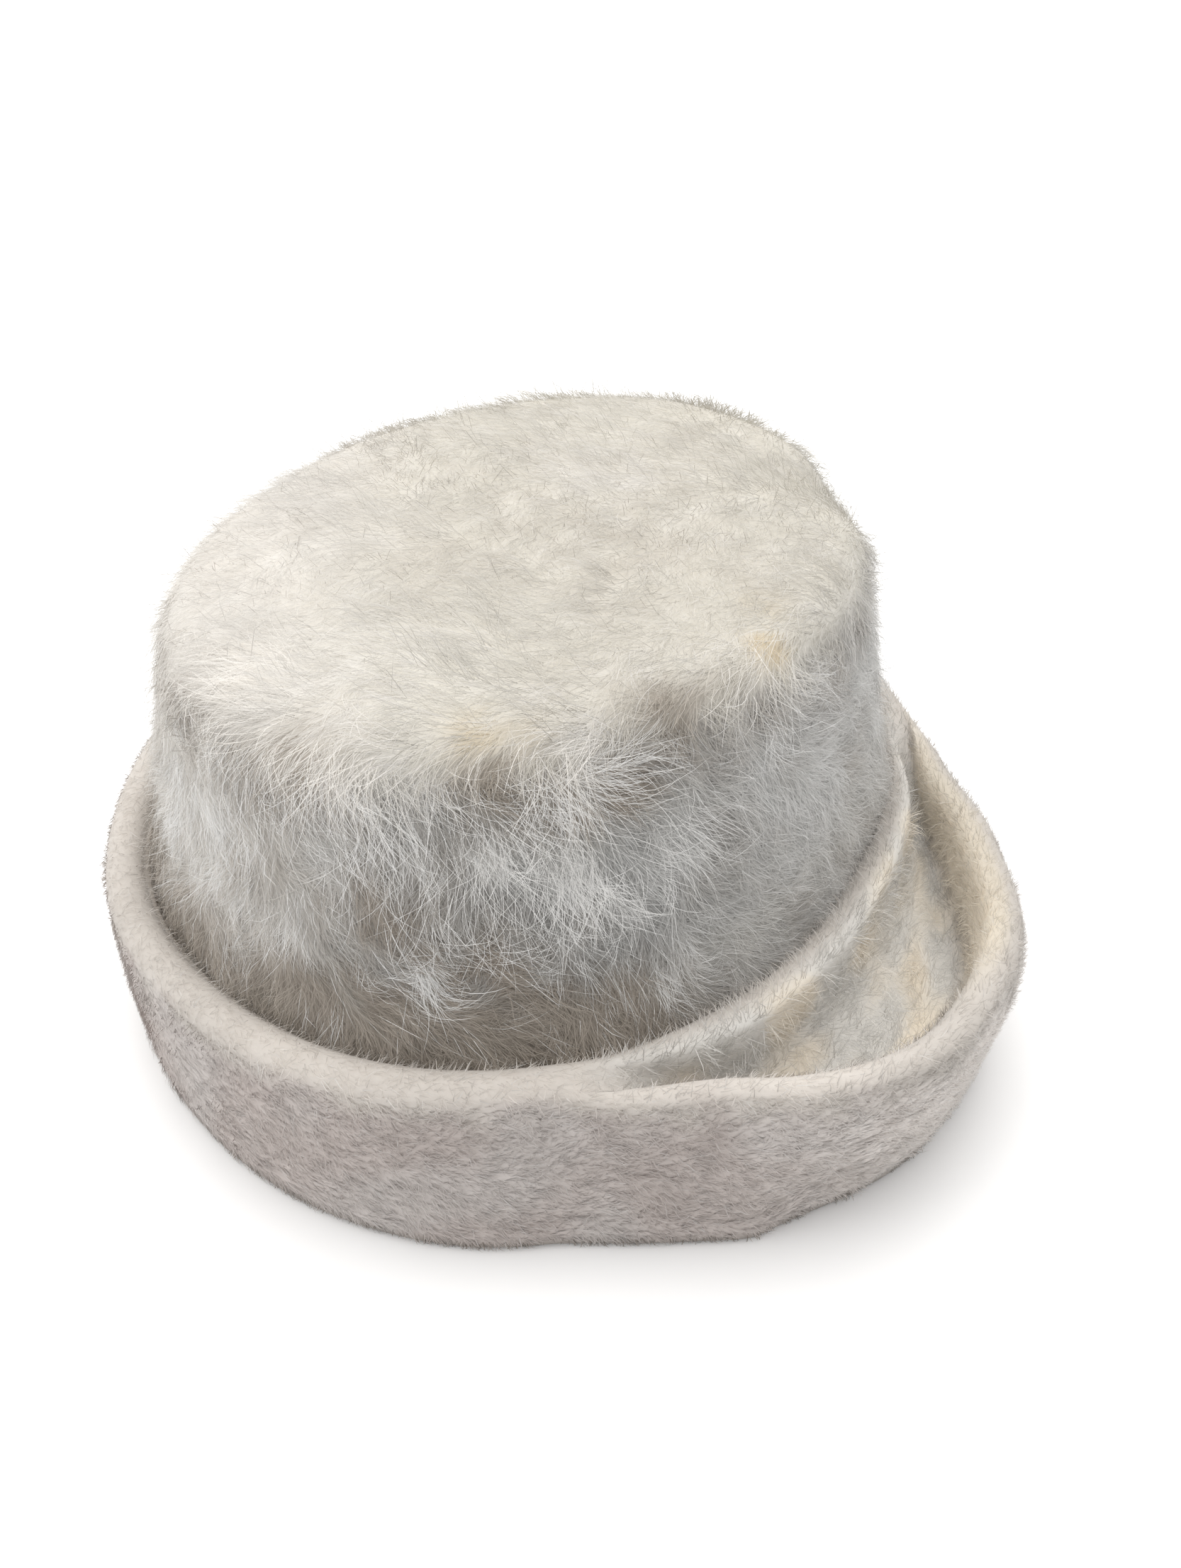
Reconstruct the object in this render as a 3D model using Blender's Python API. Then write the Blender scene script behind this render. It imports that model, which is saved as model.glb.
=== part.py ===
# Brushed felt cloche hat: a furry crown standing in a turned-up brim.
# Metres, +Z up. The hat rests on z = 0 and its box is centred on the Z axis. The front is at -Y.
# Angles go round the hat from +X, so the front is 270, the right side 0 and the left side 180.

import bpy
import bmesh
import numpy as np

MM = 0.001

# Driving sizes, in millimetres
SEAM_GAP = 0.3          # air between the crown's foot and the brim that carries it
FELT = 2.5              # thickness of the bare felt
NAP = 4.5               # depth of the crown's lying nap over the felt
LOCK_RELIEF = 1.3       # a lock of nap stands this far over the nap's mean surface, or under it
TOP_COMB = 222.0        # angle that the nap on the top is combed towards, in degrees
HAT_HEIGHT = 117.5      # table to the tips of the highest locks
TOP_DOME = 5.0          # rise of the top from its edge to its middle
TOP_EDGE_RADIUS = 15.0  # rounding between the crown's side and its top
SHELF = 3.0             # thickness of the brim's flat layer on the table
SHELF_LAP = 6.0         # how far the flat layer reaches in under the crown
FOOT_ROUND = 2.0        # rounding where the cuff turns up from the table

# Grids
CROWN_SECTIONS = 80     # steps round the crown
SIDE_ROWS = 12          # steps up the crown's side, outside
EDGE_ROWS = 4           # steps over the rounded top edge
TOP_ROWS = 7            # steps from the top edge to the middle
INSIDE_SIDE_ROWS = 6    # the same steps inside the crown
INSIDE_EDGE_ROWS = 3
INSIDE_TOP_ROWS = 4
BRIM_SECTIONS = 90      # steps round the brim
ROLL_STEPS = 4          # steps over each rounded crest of the brim

# Crown: a row for each direction, with the radius over the nap at three heights
CROWN_LEVELS = np.array([19.0, 62.0, 96.0])
CROWN_TABLE = np.array([
    # angle, low, middle, shoulder
    (0, 95.0, 87.5, 80.5),
    (30, 99.0, 94.0, 87.5),
    (60, 100.0, 95.0, 90.0),
    (90, 96.0, 90.0, 82.5),
    (120, 92.5, 84.5, 76.0),
    (150, 92.5, 84.5, 76.0),
    (180, 97.0, 91.0, 82.5),
    (210, 103.0, 98.5, 90.0),
    (240, 103.5, 99.5, 91.0),
    (270, 100.5, 94.5, 83.0),
    (300, 92.5, 84.5, 74.5),
    (330, 89.0, 81.5, 76.0),
])

# Dents in the crown: a row for each, with its place over the plan, reach and depth
DENT_TABLE = np.array([
    # x, y, reach, depth
    (74.0, 27.0, 14.0, 6.0),
    (-8.0, -6.0, 46.0, 2.0),
    (20.0, 44.0, 26.0, 1.5),
])

# Brim: a row for each direction. gutter is the air between crown and brim, ridge and rim are the
# thicknesses of the inner and outer layers, valley is the air between them, merge is 1 where both
# layers are one roll, and spread is how far the foot stands out past the rim.
BRIM_COLUMNS = ("gutter", "ridge", "ridge_top", "valley", "valley_floor",
                "rim", "rim_top", "spread", "merge")
BRIM_TABLE = np.array([
    # angle, then the columns above
    (0, 0.6, 7.0, 37.0, 0.5, 26.0, 9.0, 41.0, 2.0, 0.25),
    (20, 0.8, 5.0, 38.0, 0.0, 34.0, 6.0, 40.0, 3.5, 1.0),
    (50, 2.0, 5.0, 41.0, 0.0, 36.0, 6.0, 42.0, 5.0, 1.0),
    (90, 4.0, 5.0, 43.0, 0.0, 38.0, 6.0, 44.0, 5.0, 1.0),
    (130, 5.5, 5.0, 43.0, 0.0, 38.0, 6.0, 44.0, 5.0, 1.0),
    (170, 6.0, 5.0, 42.0, 0.0, 38.0, 6.0, 43.0, 2.0, 1.0),
    (200, 3.5, 5.0, 42.0, 0.0, 38.0, 6.0, 43.0, 0.5, 1.0),
    (225, 2.0, 5.0, 44.0, 0.0, 38.0, 6.0, 45.0, 3.4, 1.0),
    (250, 1.0, 5.0, 45.0, 0.0, 38.0, 6.0, 46.0, 5.7, 1.0),
    (270, 0.6, 5.0, 45.0, 0.0, 38.0, 6.0, 46.0, 7.8, 1.0),
    (283, 0.6, 8.0, 44.0, 2.0, 30.0, 8.0, 46.0, 6.9, 0.4),
    (291, 0.6, 9.2, 43.0, 7.0, 21.0, 8.5, 46.0, 7.2, 0.15),
    (297, 0.6, 10.0, 42.0, 13.0, 17.0, 9.0, 46.0, 2.4, 0.0),
    (315, 0.6, 10.5, 41.0, 24.0, 12.0, 10.0, 45.0, -2.2, 0.0),
    (330, 0.6, 10.5, 40.0, 22.0, 12.0, 11.0, 43.0, -1.0, 0.0),
    (345, 0.6, 9.0, 38.0, 10.5, 17.0, 11.0, 42.0, 0.0, 0.0),
])

# The valley's bottom, which slopes from the ridge down to a deepest line at the rim: a row for each
# point, with its share of the way across, and of the ridge's height over the valley's floor
VALLEY_TABLE = np.array([
    # across, height
    (0.14, 0.62),
    (0.40, 0.34),
    (0.70, 0.12),
    (0.93, 0.02),
])

# The gutter's outer wall, which follows the crown: heights of its points over the flat layer
GUTTER_RISES = (2.0, 9.0)

# The cuff's outer face: a row for each point, with its share of the rim's height and of the spread
FACE_TABLE = np.array([
    # height, spread
    (0.62, 0.4),
    (0.28, 0.8),
])
FACE_BULGE = 0.6        # how far the cuff's face swells between rim and foot

# Reach of the dents and locks
DENTS_FROM = 55.0       # height where the dents begin to show on the side
DENTS_FULL = 95.0       # height where they are at full depth
LOCKS_FADE = 12.0       # the locks fade out over this height at the crown's foot
TOP_BLEND = 22.0        # width of the band where the side's locks turn into the top's

# Locks on the crown's side: a row for each set of waves, with its count round the hat, its slant in
# radians for each millimetre of height, how far slower waves bend it, the count and phase of those,
# and its share of the relief
SIDE_LOCKS = np.array([
    # round, slant, bend, bend_round, bend_phase, share
    (15, 0.085, 1.9, 2, 0.6, 0.43),
    (9, -0.12, 2.3, 1, 0.8, 0.31),
    (0, 0.19, 2.4, 4, 0.4, 0.26),
])

# Locks on its top: the same in the plan, in radians for each millimetre across the comb and along it
TOP_LOCKS = np.array([
    # across, along, bend, bend_across, bend_along, bend_phase, share
    (0.26, 0.0, 1.4, 0.0, 0.06, 0.5, 0.6),
    (0.0, 0.17, 1.9, 0.09, 0.0, 1.0, 0.4),
])

# Colours, linear
CROWN_COLOUR = (0.52, 0.46, 0.38, 1.0)
BRIM_COLOUR = (0.42, 0.37, 0.33, 1.0)


def clear_scene():
    """Removes every object of the open scene."""
    for thing in list(bpy.data.objects):
        bpy.data.objects.remove(thing, do_unlink=True)


def round_values(angles, values, at):
    """Reads a column of a table at any angles: cubic Hermite pieces whose slopes are those of the
    neighbours on both sides, limited so that a column never swings past its rows, and closed round
    the hat."""
    knots = np.concatenate([angles[-2:] - 360.0, angles, angles[:2] + 360.0])
    heights = np.concatenate([values[-2:], values, values[:2]])
    step = np.diff(knots)
    slope = np.diff(heights) / step
    before, after = slope[:-1], slope[1:]
    tangent = np.zeros_like(heights)
    tangent[1:-1] = (before * step[1:] + after * step[:-1]) / (step[1:] + step[:-1])
    limit = 3.0 * np.minimum(np.abs(before), np.abs(after)) * (before * after > 0)
    tangent[1:-1] = np.clip(tangent[1:-1], -limit, limit)
    at = np.mod(at, 360.0)
    i = np.clip(np.searchsorted(knots, at, side="right") - 1, 0, len(step) - 1)
    t = (at - knots[i]) / step[i]
    first = heights[i] * (1 + 2 * t) * (1 - t) ** 2 + tangent[i] * step[i] * t * (1 - t) ** 2
    second = heights[i + 1] * t * t * (3 - 2 * t) + tangent[i + 1] * step[i] * t * t * (t - 1)
    return first + second


def smooth_step(x):
    """0 below 0, 1 above 1, and an even rise between."""
    x = np.clip(x, 0.0, 1.0)
    return x * x * (3 - 2 * x)


def crown_radius(angle, height):
    """Radius over the nap, from the parabola through the table's three levels."""
    low, middle, top = (round_values(CROWN_TABLE[:, 0], CROWN_TABLE[:, k], angle) for k in (1, 2, 3))
    a, b, c = CROWN_LEVELS
    at_low = (height - b) * (height - c) / ((a - b) * (a - c))
    at_middle = (height - a) * (height - c) / ((b - a) * (b - c))
    at_top = (height - a) * (height - b) / ((c - a) * (c - b))
    return low * at_low + middle * at_middle + top * at_top


def dent_depth(x, y, height):
    """Depth of all dents at a place: a bell over the plan, fading down the side."""
    depth = np.zeros_like(x)
    for dent_x, dent_y, reach, deep in DENT_TABLE:
        away = ((x - dent_x) ** 2 + (y - dent_y) ** 2) / reach ** 2
        depth += deep * np.exp(-away)
    return depth * smooth_step((height - DENTS_FROM) / (DENTS_FULL - DENTS_FROM))


def side_locks(turn, height):
    """Relief of the locks on the crown's side, from -1 to 1: sets of slanting waves, each bent by
    slower waves, so that no two locks are alike."""
    relief = np.zeros(np.broadcast(turn, height).shape)
    for waves, slant, bend, bend_waves, bend_phase, share in SIDE_LOCKS:
        bent = bend * np.sin(bend_waves * turn + bend_phase)
        relief += share * np.sin(waves * turn + slant * height + bent)
    return relief


def top_locks(x, y):
    """Relief of the locks on the crown's top, from -1 to 1: bent waves across the way the nap is
    combed, and along it."""
    comb = np.radians(TOP_COMB)
    along = np.cos(comb) * x + np.sin(comb) * y
    across = np.cos(comb) * y - np.sin(comb) * x
    relief = np.zeros(np.shape(x))
    for waves, waves_along, bend, bend_across, bend_along, bend_phase, share in TOP_LOCKS:
        bent = bend * np.sin(bend_across * across + bend_along * along + bend_phase)
        relief += share * np.sin(waves * across + waves_along * along + bent)
    return relief


def crown_surface(shrink, side_rows, edge_rows, top_rows, foot, relief):
    """One skin of the crown, as rows of points from its foot to the middle of its top. shrink moves
    it inwards from the nap, and relief is the height of its locks. The side follows the table, a
    quarter circle turns it over, and the top is a shallow parabola."""
    angle = np.arange(CROWN_SECTIONS) * 360.0 / CROWN_SECTIONS
    edge = TOP_EDGE_RADIUS
    shoulder = HAT_HEIGHT - TOP_DOME - edge
    side_heights = foot + (shoulder - foot) * np.arange(side_rows + 1) / side_rows
    shoulder_radius = crown_radius(angle, shoulder) - shrink
    edge_inset = edge - shrink
    rings = [(crown_radius(angle, z) - shrink, np.full_like(angle, z)) for z in side_heights]
    for t in np.radians(90.0 * np.arange(1, edge_rows + 1) / edge_rows):
        rings.append((shoulder_radius - edge_inset * (1 - np.cos(t)),
                      np.full_like(angle, shoulder + edge_inset * np.sin(t))))
    for share in 1 - np.arange(1, top_rows) / top_rows:
        rings.append(((shoulder_radius - edge_inset) * share,
                      np.full_like(angle, shoulder + edge_inset + TOP_DOME * (1 - share ** 2))))
    radius = np.array([ring[0] for ring in rings])
    height = np.array([ring[1] for ring in rings])
    turn = np.radians(angle)[None, :]
    x, y = radius * np.cos(turn), radius * np.sin(turn)
    peak = HAT_HEIGHT - shrink + relief * (top_locks(0.0, 0.0) - 1.0)
    if relief:
        out = smooth_step(1 + (radius - shoulder_radius[None, :]) / TOP_BLEND)
        locks = out * side_locks(turn, height) + (1 - out) * top_locks(x, y)
        lift = relief * smooth_step((height - foot) / LOCKS_FADE) * (locks - 1.0)
        x, y = x * (1 + lift * out / radius), y * (1 + lift * out / radius)
        height = height + lift * (1 - out)
    height = height - dent_depth(x, y, height)
    points = np.stack([x, y, height], axis=-1)
    sunk = dent_depth(np.zeros(1), np.zeros(1), np.full(1, peak))
    middle = np.array([0.0, 0.0, peak - sunk[0]])
    return points, middle


def grid_faces(first_row, rows, columns):
    """Quads between neighbouring rows of a grid that closes round the hat."""
    return [(first_row + r * columns + c, first_row + r * columns + (c + 1) % columns,
             first_row + (r + 1) * columns + (c + 1) % columns, first_row + (r + 1) * columns + c)
            for r in range(rows - 1) for c in range(columns)]


def felt_material(name, colour):
    """A matt felt with a soft sheen."""
    material = bpy.data.materials.new(name)
    material.use_nodes = True
    shader = material.node_tree.nodes["Principled BSDF"]
    shader.inputs["Base Color"].default_value = colour
    shader.inputs["Roughness"].default_value = 0.95
    shader.inputs["Metallic"].default_value = 0.0
    shader.inputs["Sheen Weight"].default_value = 0.3
    return material


def add_piece(name, points, faces, material):
    """Makes one closed, outward-facing, smooth object from points in millimetres."""
    mesh = bpy.data.meshes.new(name)
    mesh.from_pydata((np.asarray(points) * MM).tolist(), [], faces)
    shape = bmesh.new()
    shape.from_mesh(mesh)
    bmesh.ops.triangulate(shape, faces=shape.faces[:])
    bmesh.ops.recalc_face_normals(shape, faces=shape.faces[:])
    shape.to_mesh(mesh)
    shape.free()
    mesh.shade_smooth()
    mesh.materials.append(material)
    piece = bpy.data.objects.new(name, mesh)
    bpy.context.scene.collection.objects.link(piece)
    return piece


def build_crown():
    """The crown: an outer skin in locks, an inner skin, and a hem that joins their feet."""
    foot = SHELF + SEAM_GAP
    outer, outer_middle = crown_surface(0.0, SIDE_ROWS, EDGE_ROWS, TOP_ROWS, foot, LOCK_RELIEF)
    inner, inner_middle = crown_surface(NAP + FELT, INSIDE_SIDE_ROWS, INSIDE_EDGE_ROWS,
                                        INSIDE_TOP_ROWS, foot, 0.0)
    columns = CROWN_SECTIONS
    outer_rows, inner_rows = len(outer), len(inner)
    inner_start = outer_rows * columns
    points = [*outer.reshape(-1, 3), *inner.reshape(-1, 3), outer_middle, inner_middle]
    outer_tip, inner_tip = len(points) - 2, len(points) - 1
    faces = grid_faces(0, outer_rows, columns)
    faces += [tuple(reversed(face)) for face in grid_faces(inner_start, inner_rows, columns)]
    last_outer = (outer_rows - 1) * columns
    last_inner = inner_start + (inner_rows - 1) * columns
    for c in range(columns):
        after = (c + 1) % columns
        faces.append((last_outer + c, last_outer + after, outer_tip))
        faces.append((last_inner + after, last_inner + c, inner_tip))
        faces.append((after, c, inner_start + c, inner_start + after))
    return add_piece("crown", points, faces, felt_material("crown_felt", CROWN_COLOUR))


def roll(inner_radius, width, top):
    """A half circle over a layer's crest, from its inner face to its outer one."""
    half = width / 2
    steps = np.radians(180.0 - 180.0 * np.arange(ROLL_STEPS + 1) / ROLL_STEPS)
    return [(inner_radius + half + half * np.cos(t), top - half + half * np.sin(t)) for t in steps]


def build_brim():
    """The brim: a closed outline in radius and height for each direction, carried round the hat.
    Where the layers part, the outline goes up over the ridge, down into the valley and up over the
    rim. Where they lie together it goes over one roll, and merge blends the two outlines."""
    angle = np.arange(BRIM_SECTIONS) * 360.0 / BRIM_SECTIONS
    col = {name: round_values(BRIM_TABLE[:, 0], BRIM_TABLE[:, k], angle)
           for k, name in enumerate(BRIM_COLUMNS, start=1)}
    against_crown = lambda height: crown_radius(angle, height) + col["gutter"]
    ridge_in = against_crown(col["ridge_top"] - col["ridge"] / 2)
    valley_in = ridge_in + col["ridge"]
    rim_in = valley_in + col["valley"]
    rim_out = rim_in + col["rim"]
    roll_width = col["ridge"] + col["rim"] + col["valley"]

    valley_depth = col["ridge_top"] - col["ridge"] / 2 - col["valley_floor"]
    parted = roll(ridge_in, col["ridge"], col["ridge_top"])
    for across, rise in VALLEY_TABLE:
        parted.append((valley_in + across * col["valley"],
                       col["valley_floor"] + rise * valley_depth))
    parted += roll(rim_in, col["rim"], col["rim_top"])

    half = roll_width / 2
    joined = []
    for t in np.radians(180.0 - 180.0 * np.arange(len(parted)) / (len(parted) - 1)):
        joined.append((ridge_in + half + half * np.cos(t), col["rim_top"] - half + half * np.sin(t)))

    blend = smooth_step(col["merge"])
    crest = [((1 - blend) * p[0] + blend * j[0], (1 - blend) * p[1] + blend * j[1])
             for p, j in zip(parted, joined)]

    gutter_corner, gutter_wall = (SHELF + rise for rise in GUTTER_RISES)
    lap_in = crown_radius(angle, 0.0) - SHELF_LAP
    rim_low = crest[-1][1]
    face = [(rim_out + spread * col["spread"] + FACE_BULGE, height * rim_low)
            for height, spread in FACE_TABLE]
    foot_out = rim_out + col["spread"]
    foot_middle = FOOT_ROUND * (1 - np.sqrt(0.5))
    level = np.ones_like(angle)
    outline = [
        (lap_in, 0.0 * level),
        (lap_in, SHELF * level),
        (crown_radius(angle, SHELF), SHELF * level),
        (against_crown(gutter_corner), SHELF * level),
        (against_crown(gutter_wall), gutter_wall * level),
        *crest,
        *face,
        (foot_out, FOOT_ROUND * level),
        (foot_out - foot_middle, foot_middle * level),
        (foot_out - FOOT_ROUND, 0.0 * level),
    ]
    turn = np.radians(angle)
    rows = [np.stack([r * np.cos(turn), r * np.sin(turn), z], axis=-1) for r, z in outline]
    points = np.concatenate(rows)
    columns = BRIM_SECTIONS
    faces = grid_faces(0, len(rows), columns)
    last = (len(rows) - 1) * columns
    faces += [(last + c, last + (c + 1) % columns, (c + 1) % columns, c) for c in range(columns)]
    return add_piece("brim", points, faces, felt_material("brim_felt", BRIM_COLOUR))


def centre_on_axis(pieces):
    """Moves the pieces together, so that the middle of their common box lies on the Z axis."""
    corners = np.concatenate([[v.co[:2] for v in piece.data.vertices] for piece in pieces])
    middle = (corners.min(axis=0) + corners.max(axis=0)) / 2
    for piece in pieces:
        for vertex in piece.data.vertices:
            vertex.co.x -= middle[0]
            vertex.co.y -= middle[1]


def build_hat():
    clear_scene()
    pieces = [build_crown(), build_brim()]
    centre_on_axis(pieces)


build_hat()
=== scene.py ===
# %% [markdown]
# A brushed felt cloche hat, dressed for its portrait.
#
# The hat is one soft felt cone, blocked into a bucket-shaped crown, with its brim turned up all
# round as a thick cuff. The crown carries a long silky nap that was brushed down by hand. The brim
# carries a short dense pile. The solid model already holds both forms. This script gives them the
# thing that makes such a hat: hair, laid over a felt ground.
#
# The frame is loaded first. Every surface below is worked out from the same named sizes as the
# solids, in millimetres, so nothing has to be fitted by eye afterwards.

# %% Frame
import math

import bpy
import bmesh
import numpy as np
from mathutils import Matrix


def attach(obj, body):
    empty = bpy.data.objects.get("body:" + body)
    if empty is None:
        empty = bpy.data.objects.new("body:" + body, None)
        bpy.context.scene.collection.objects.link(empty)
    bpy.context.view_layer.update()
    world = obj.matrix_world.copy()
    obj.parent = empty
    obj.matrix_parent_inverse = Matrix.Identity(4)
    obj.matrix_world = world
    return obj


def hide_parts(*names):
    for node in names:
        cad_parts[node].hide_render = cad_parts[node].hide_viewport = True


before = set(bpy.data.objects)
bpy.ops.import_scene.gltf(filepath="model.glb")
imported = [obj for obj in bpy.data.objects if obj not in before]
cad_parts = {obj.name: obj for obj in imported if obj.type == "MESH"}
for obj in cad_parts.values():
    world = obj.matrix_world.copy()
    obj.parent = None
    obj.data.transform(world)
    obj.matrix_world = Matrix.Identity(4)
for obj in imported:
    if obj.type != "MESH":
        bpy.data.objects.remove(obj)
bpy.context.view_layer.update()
MM = 0.001

# %% [markdown]
# The sizes are those of the felt itself. A hat is measured in directions round its axis and heights
# above the table, so the crown and the brim are short tables with a row for each direction. Angles
# go round from +X, so the front is 270, the hat's right side is 0 and its left side is 180.

# %% Sizes of the hat
FELT_AND_NAP = 7.0      # from the nap's surface to the inside of the crown
NAP_ROOTS = 2.6         # depth under the nap's surface where its hairs leave the felt
SHALLOW_NAP = 0.5       # the same depth low on the crown, where the nap is short
SHALLOW_NAP_FROM, SHALLOW_NAP_FADE = 60.0, 14.0     # the nap thins downwards over these heights
TOP_COMB = 222.0        # direction that the nap on the top is combed towards, in degrees
HAT_HEIGHT = 117.5
TOP_DOME = 5.0
TOP_EDGE_RADIUS = 15.0
SHELF = 3.0             # the brim's flat layer on the table, which carries the crown
SHELF_LAP = 6.0
SEAM_GAP = 0.3
FOOT_ROUND = 2.0

CROWN_LEVELS = np.array([19.0, 62.0, 96.0])
CROWN_TABLE = np.array([
    # angle, radius low, middle and at the shoulder
    (0, 95.0, 87.5, 80.5),
    (30, 99.0, 94.0, 87.5),
    (60, 100.0, 95.0, 90.0),
    (90, 96.0, 90.0, 82.5),
    (120, 92.5, 84.5, 76.0),
    (150, 92.5, 84.5, 76.0),
    (180, 97.0, 91.0, 82.5),
    (210, 103.0, 98.5, 90.0),
    (240, 103.5, 99.5, 91.0),
    (270, 100.5, 94.5, 83.0),
    (300, 92.5, 84.5, 74.5),
    (330, 89.0, 81.5, 76.0),
])
DENT_TABLE = np.array([
    # x, y, reach, depth
    (74.0, 27.0, 14.0, 6.0),
    (-8.0, -6.0, 46.0, 2.0),
    (20.0, 44.0, 26.0, 1.5),
])
DENTS_FROM, DENTS_FULL = 55.0, 95.0

BRIM_COLUMNS = ("gutter", "ridge", "ridge_top", "valley", "valley_floor",
                "rim", "rim_top", "spread", "merge")
BRIM_TABLE = np.array([
    # angle, then the columns above
    (0, 0.6, 7.0, 37.0, 0.5, 26.0, 9.0, 41.0, 2.0, 0.25),
    (20, 0.8, 5.0, 38.0, 0.0, 34.0, 6.0, 40.0, 3.5, 1.0),
    (50, 2.0, 5.0, 41.0, 0.0, 36.0, 6.0, 42.0, 5.0, 1.0),
    (90, 4.0, 5.0, 43.0, 0.0, 38.0, 6.0, 44.0, 5.0, 1.0),
    (130, 5.5, 5.0, 43.0, 0.0, 38.0, 6.0, 44.0, 5.0, 1.0),
    (170, 6.0, 5.0, 42.0, 0.0, 38.0, 6.0, 43.0, 2.0, 1.0),
    (200, 3.5, 5.0, 42.0, 0.0, 38.0, 6.0, 43.0, 0.5, 1.0),
    (225, 2.0, 5.0, 44.0, 0.0, 38.0, 6.0, 45.0, 3.4, 1.0),
    (250, 1.0, 5.0, 45.0, 0.0, 38.0, 6.0, 46.0, 5.7, 1.0),
    (270, 0.6, 5.0, 45.0, 0.0, 38.0, 6.0, 46.0, 7.8, 1.0),
    (283, 0.6, 8.0, 44.0, 2.0, 30.0, 8.0, 46.0, 6.9, 0.4),
    (291, 0.6, 9.2, 43.0, 7.0, 21.0, 8.5, 46.0, 7.2, 0.15),
    (297, 0.6, 10.0, 42.0, 13.0, 17.0, 9.0, 46.0, 2.4, 0.0),
    (315, 0.6, 10.5, 41.0, 24.0, 12.0, 10.0, 45.0, -2.2, 0.0),
    (330, 0.6, 10.5, 40.0, 22.0, 12.0, 11.0, 43.0, -1.0, 0.0),
    (345, 0.6, 9.0, 38.0, 10.5, 17.0, 11.0, 42.0, 0.0, 0.0),
])
VALLEY_TABLE = np.array([
    # share of the way across, share of the ridge's height over the valley's floor
    (0.14, 0.62),
    (0.40, 0.34),
    (0.70, 0.12),
    (0.93, 0.02),
])
GUTTER_RISES = (2.0, 9.0)
FACE_TABLE = np.array([
    # share of the rim's height, share of the spread
    (0.62, 0.4),
    (0.28, 0.8),
])
FACE_BULGE = 0.6

# %% [markdown]
# A table with a dozen rows or so has to be read at any angle. Straight lines between the rows would
# give the felt corners, and a free spline would swing past its rows. Cubic pieces with limited
# slopes keep the curve smooth and honest.

# %% Reading a table round the hat
def round_values(angles, values, at):
    """A column of a table at any angles: cubic Hermite pieces. The slope at each row is that of its
    neighbours on both sides, kept under three times the smaller one. The table closes on itself."""
    knots = np.concatenate([angles[-2:] - 360.0, angles, angles[:2] + 360.0])
    heights = np.concatenate([values[-2:], values, values[:2]])
    step = np.diff(knots)
    slope = np.diff(heights) / step
    before, after = slope[:-1], slope[1:]
    tangent = np.zeros_like(heights)
    tangent[1:-1] = (before * step[1:] + after * step[:-1]) / (step[1:] + step[:-1])
    limit = 3.0 * np.minimum(np.abs(before), np.abs(after)) * (before * after > 0)
    tangent[1:-1] = np.clip(tangent[1:-1], -limit, limit)
    at = np.mod(at, 360.0)
    i = np.clip(np.searchsorted(knots, at, side="right") - 1, 0, len(step) - 1)
    t = (at - knots[i]) / step[i]
    first = heights[i] * (1 + 2 * t) * (1 - t) ** 2 + tangent[i] * step[i] * t * (1 - t) ** 2
    second = heights[i + 1] * t * t * (3 - 2 * t) + tangent[i + 1] * step[i] * t * t * (t - 1)
    return first + second


def smooth_step(x):
    """0 below 0, 1 above 1, and 3x squared less 2x cubed between."""
    x = np.clip(x, 0.0, 1.0)
    return x * x * (3 - 2 * x)


def rising(value, start, stretch):
    """0 up to start, then a smooth rise over the stretch to 1."""
    return smooth_step((value - start) / stretch)


def falling(value, start, stretch):
    """0 from start on, and below it a smooth rise over the stretch to 1."""
    return smooth_step((start - value) / stretch)


def crown_radius(angle, height):
    """Radius over the nap: the parabola through the table's three levels, at each angle."""
    low, middle, top = (round_values(CROWN_TABLE[:, 0], CROWN_TABLE[:, k], angle) for k in (1, 2, 3))
    a, b, c = CROWN_LEVELS
    at_low = (height - b) * (height - c) / ((a - b) * (a - c))
    at_middle = (height - a) * (height - c) / ((b - a) * (b - c))
    at_top = (height - a) * (height - b) / ((c - a) * (c - b))
    return low * at_low + middle * at_middle + top * at_top


BROW_HEIGHT = 40.0
front_to_back = sum(float(crown_radius(side, BROW_HEIGHT)) for side in (270.0, 90.0))
print("crown, front to back at the brow:", round(front_to_back, 1), "mm")

# %% [markdown]
# Brushed felt is never even. Hair lies in locks, locks lie in drifts, and colour changes with both.
# Three kinds of unevenness are used below. The first is smooth drifting noise, made of a few plane
# waves. The second gives the nearest point of a scattered set, which gathers hairs into locks. The
# third is plain chance, always drawn from a numbered source so that each run gives the same hat.

# %% Unevenness
def drift(place, size, seed):
    """Smooth noise between about -1.5 and 1.5: the sum of plane waves in chance directions, with
    wavelengths from 0.7 to 1.7 times size, in millimetres."""
    source = np.random.default_rng(seed)
    waves = 14
    heading = source.normal(size=(waves, 3))
    heading /= np.linalg.norm(heading, axis=1, keepdims=True)
    pitch = 2 * np.pi / (size * source.uniform(0.7, 1.7, waves))
    phase = source.uniform(0, 2 * np.pi, waves)
    return np.cos(place @ (heading * pitch[:, None]).T + phase).sum(axis=1) * math.sqrt(2 / waves)


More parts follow.
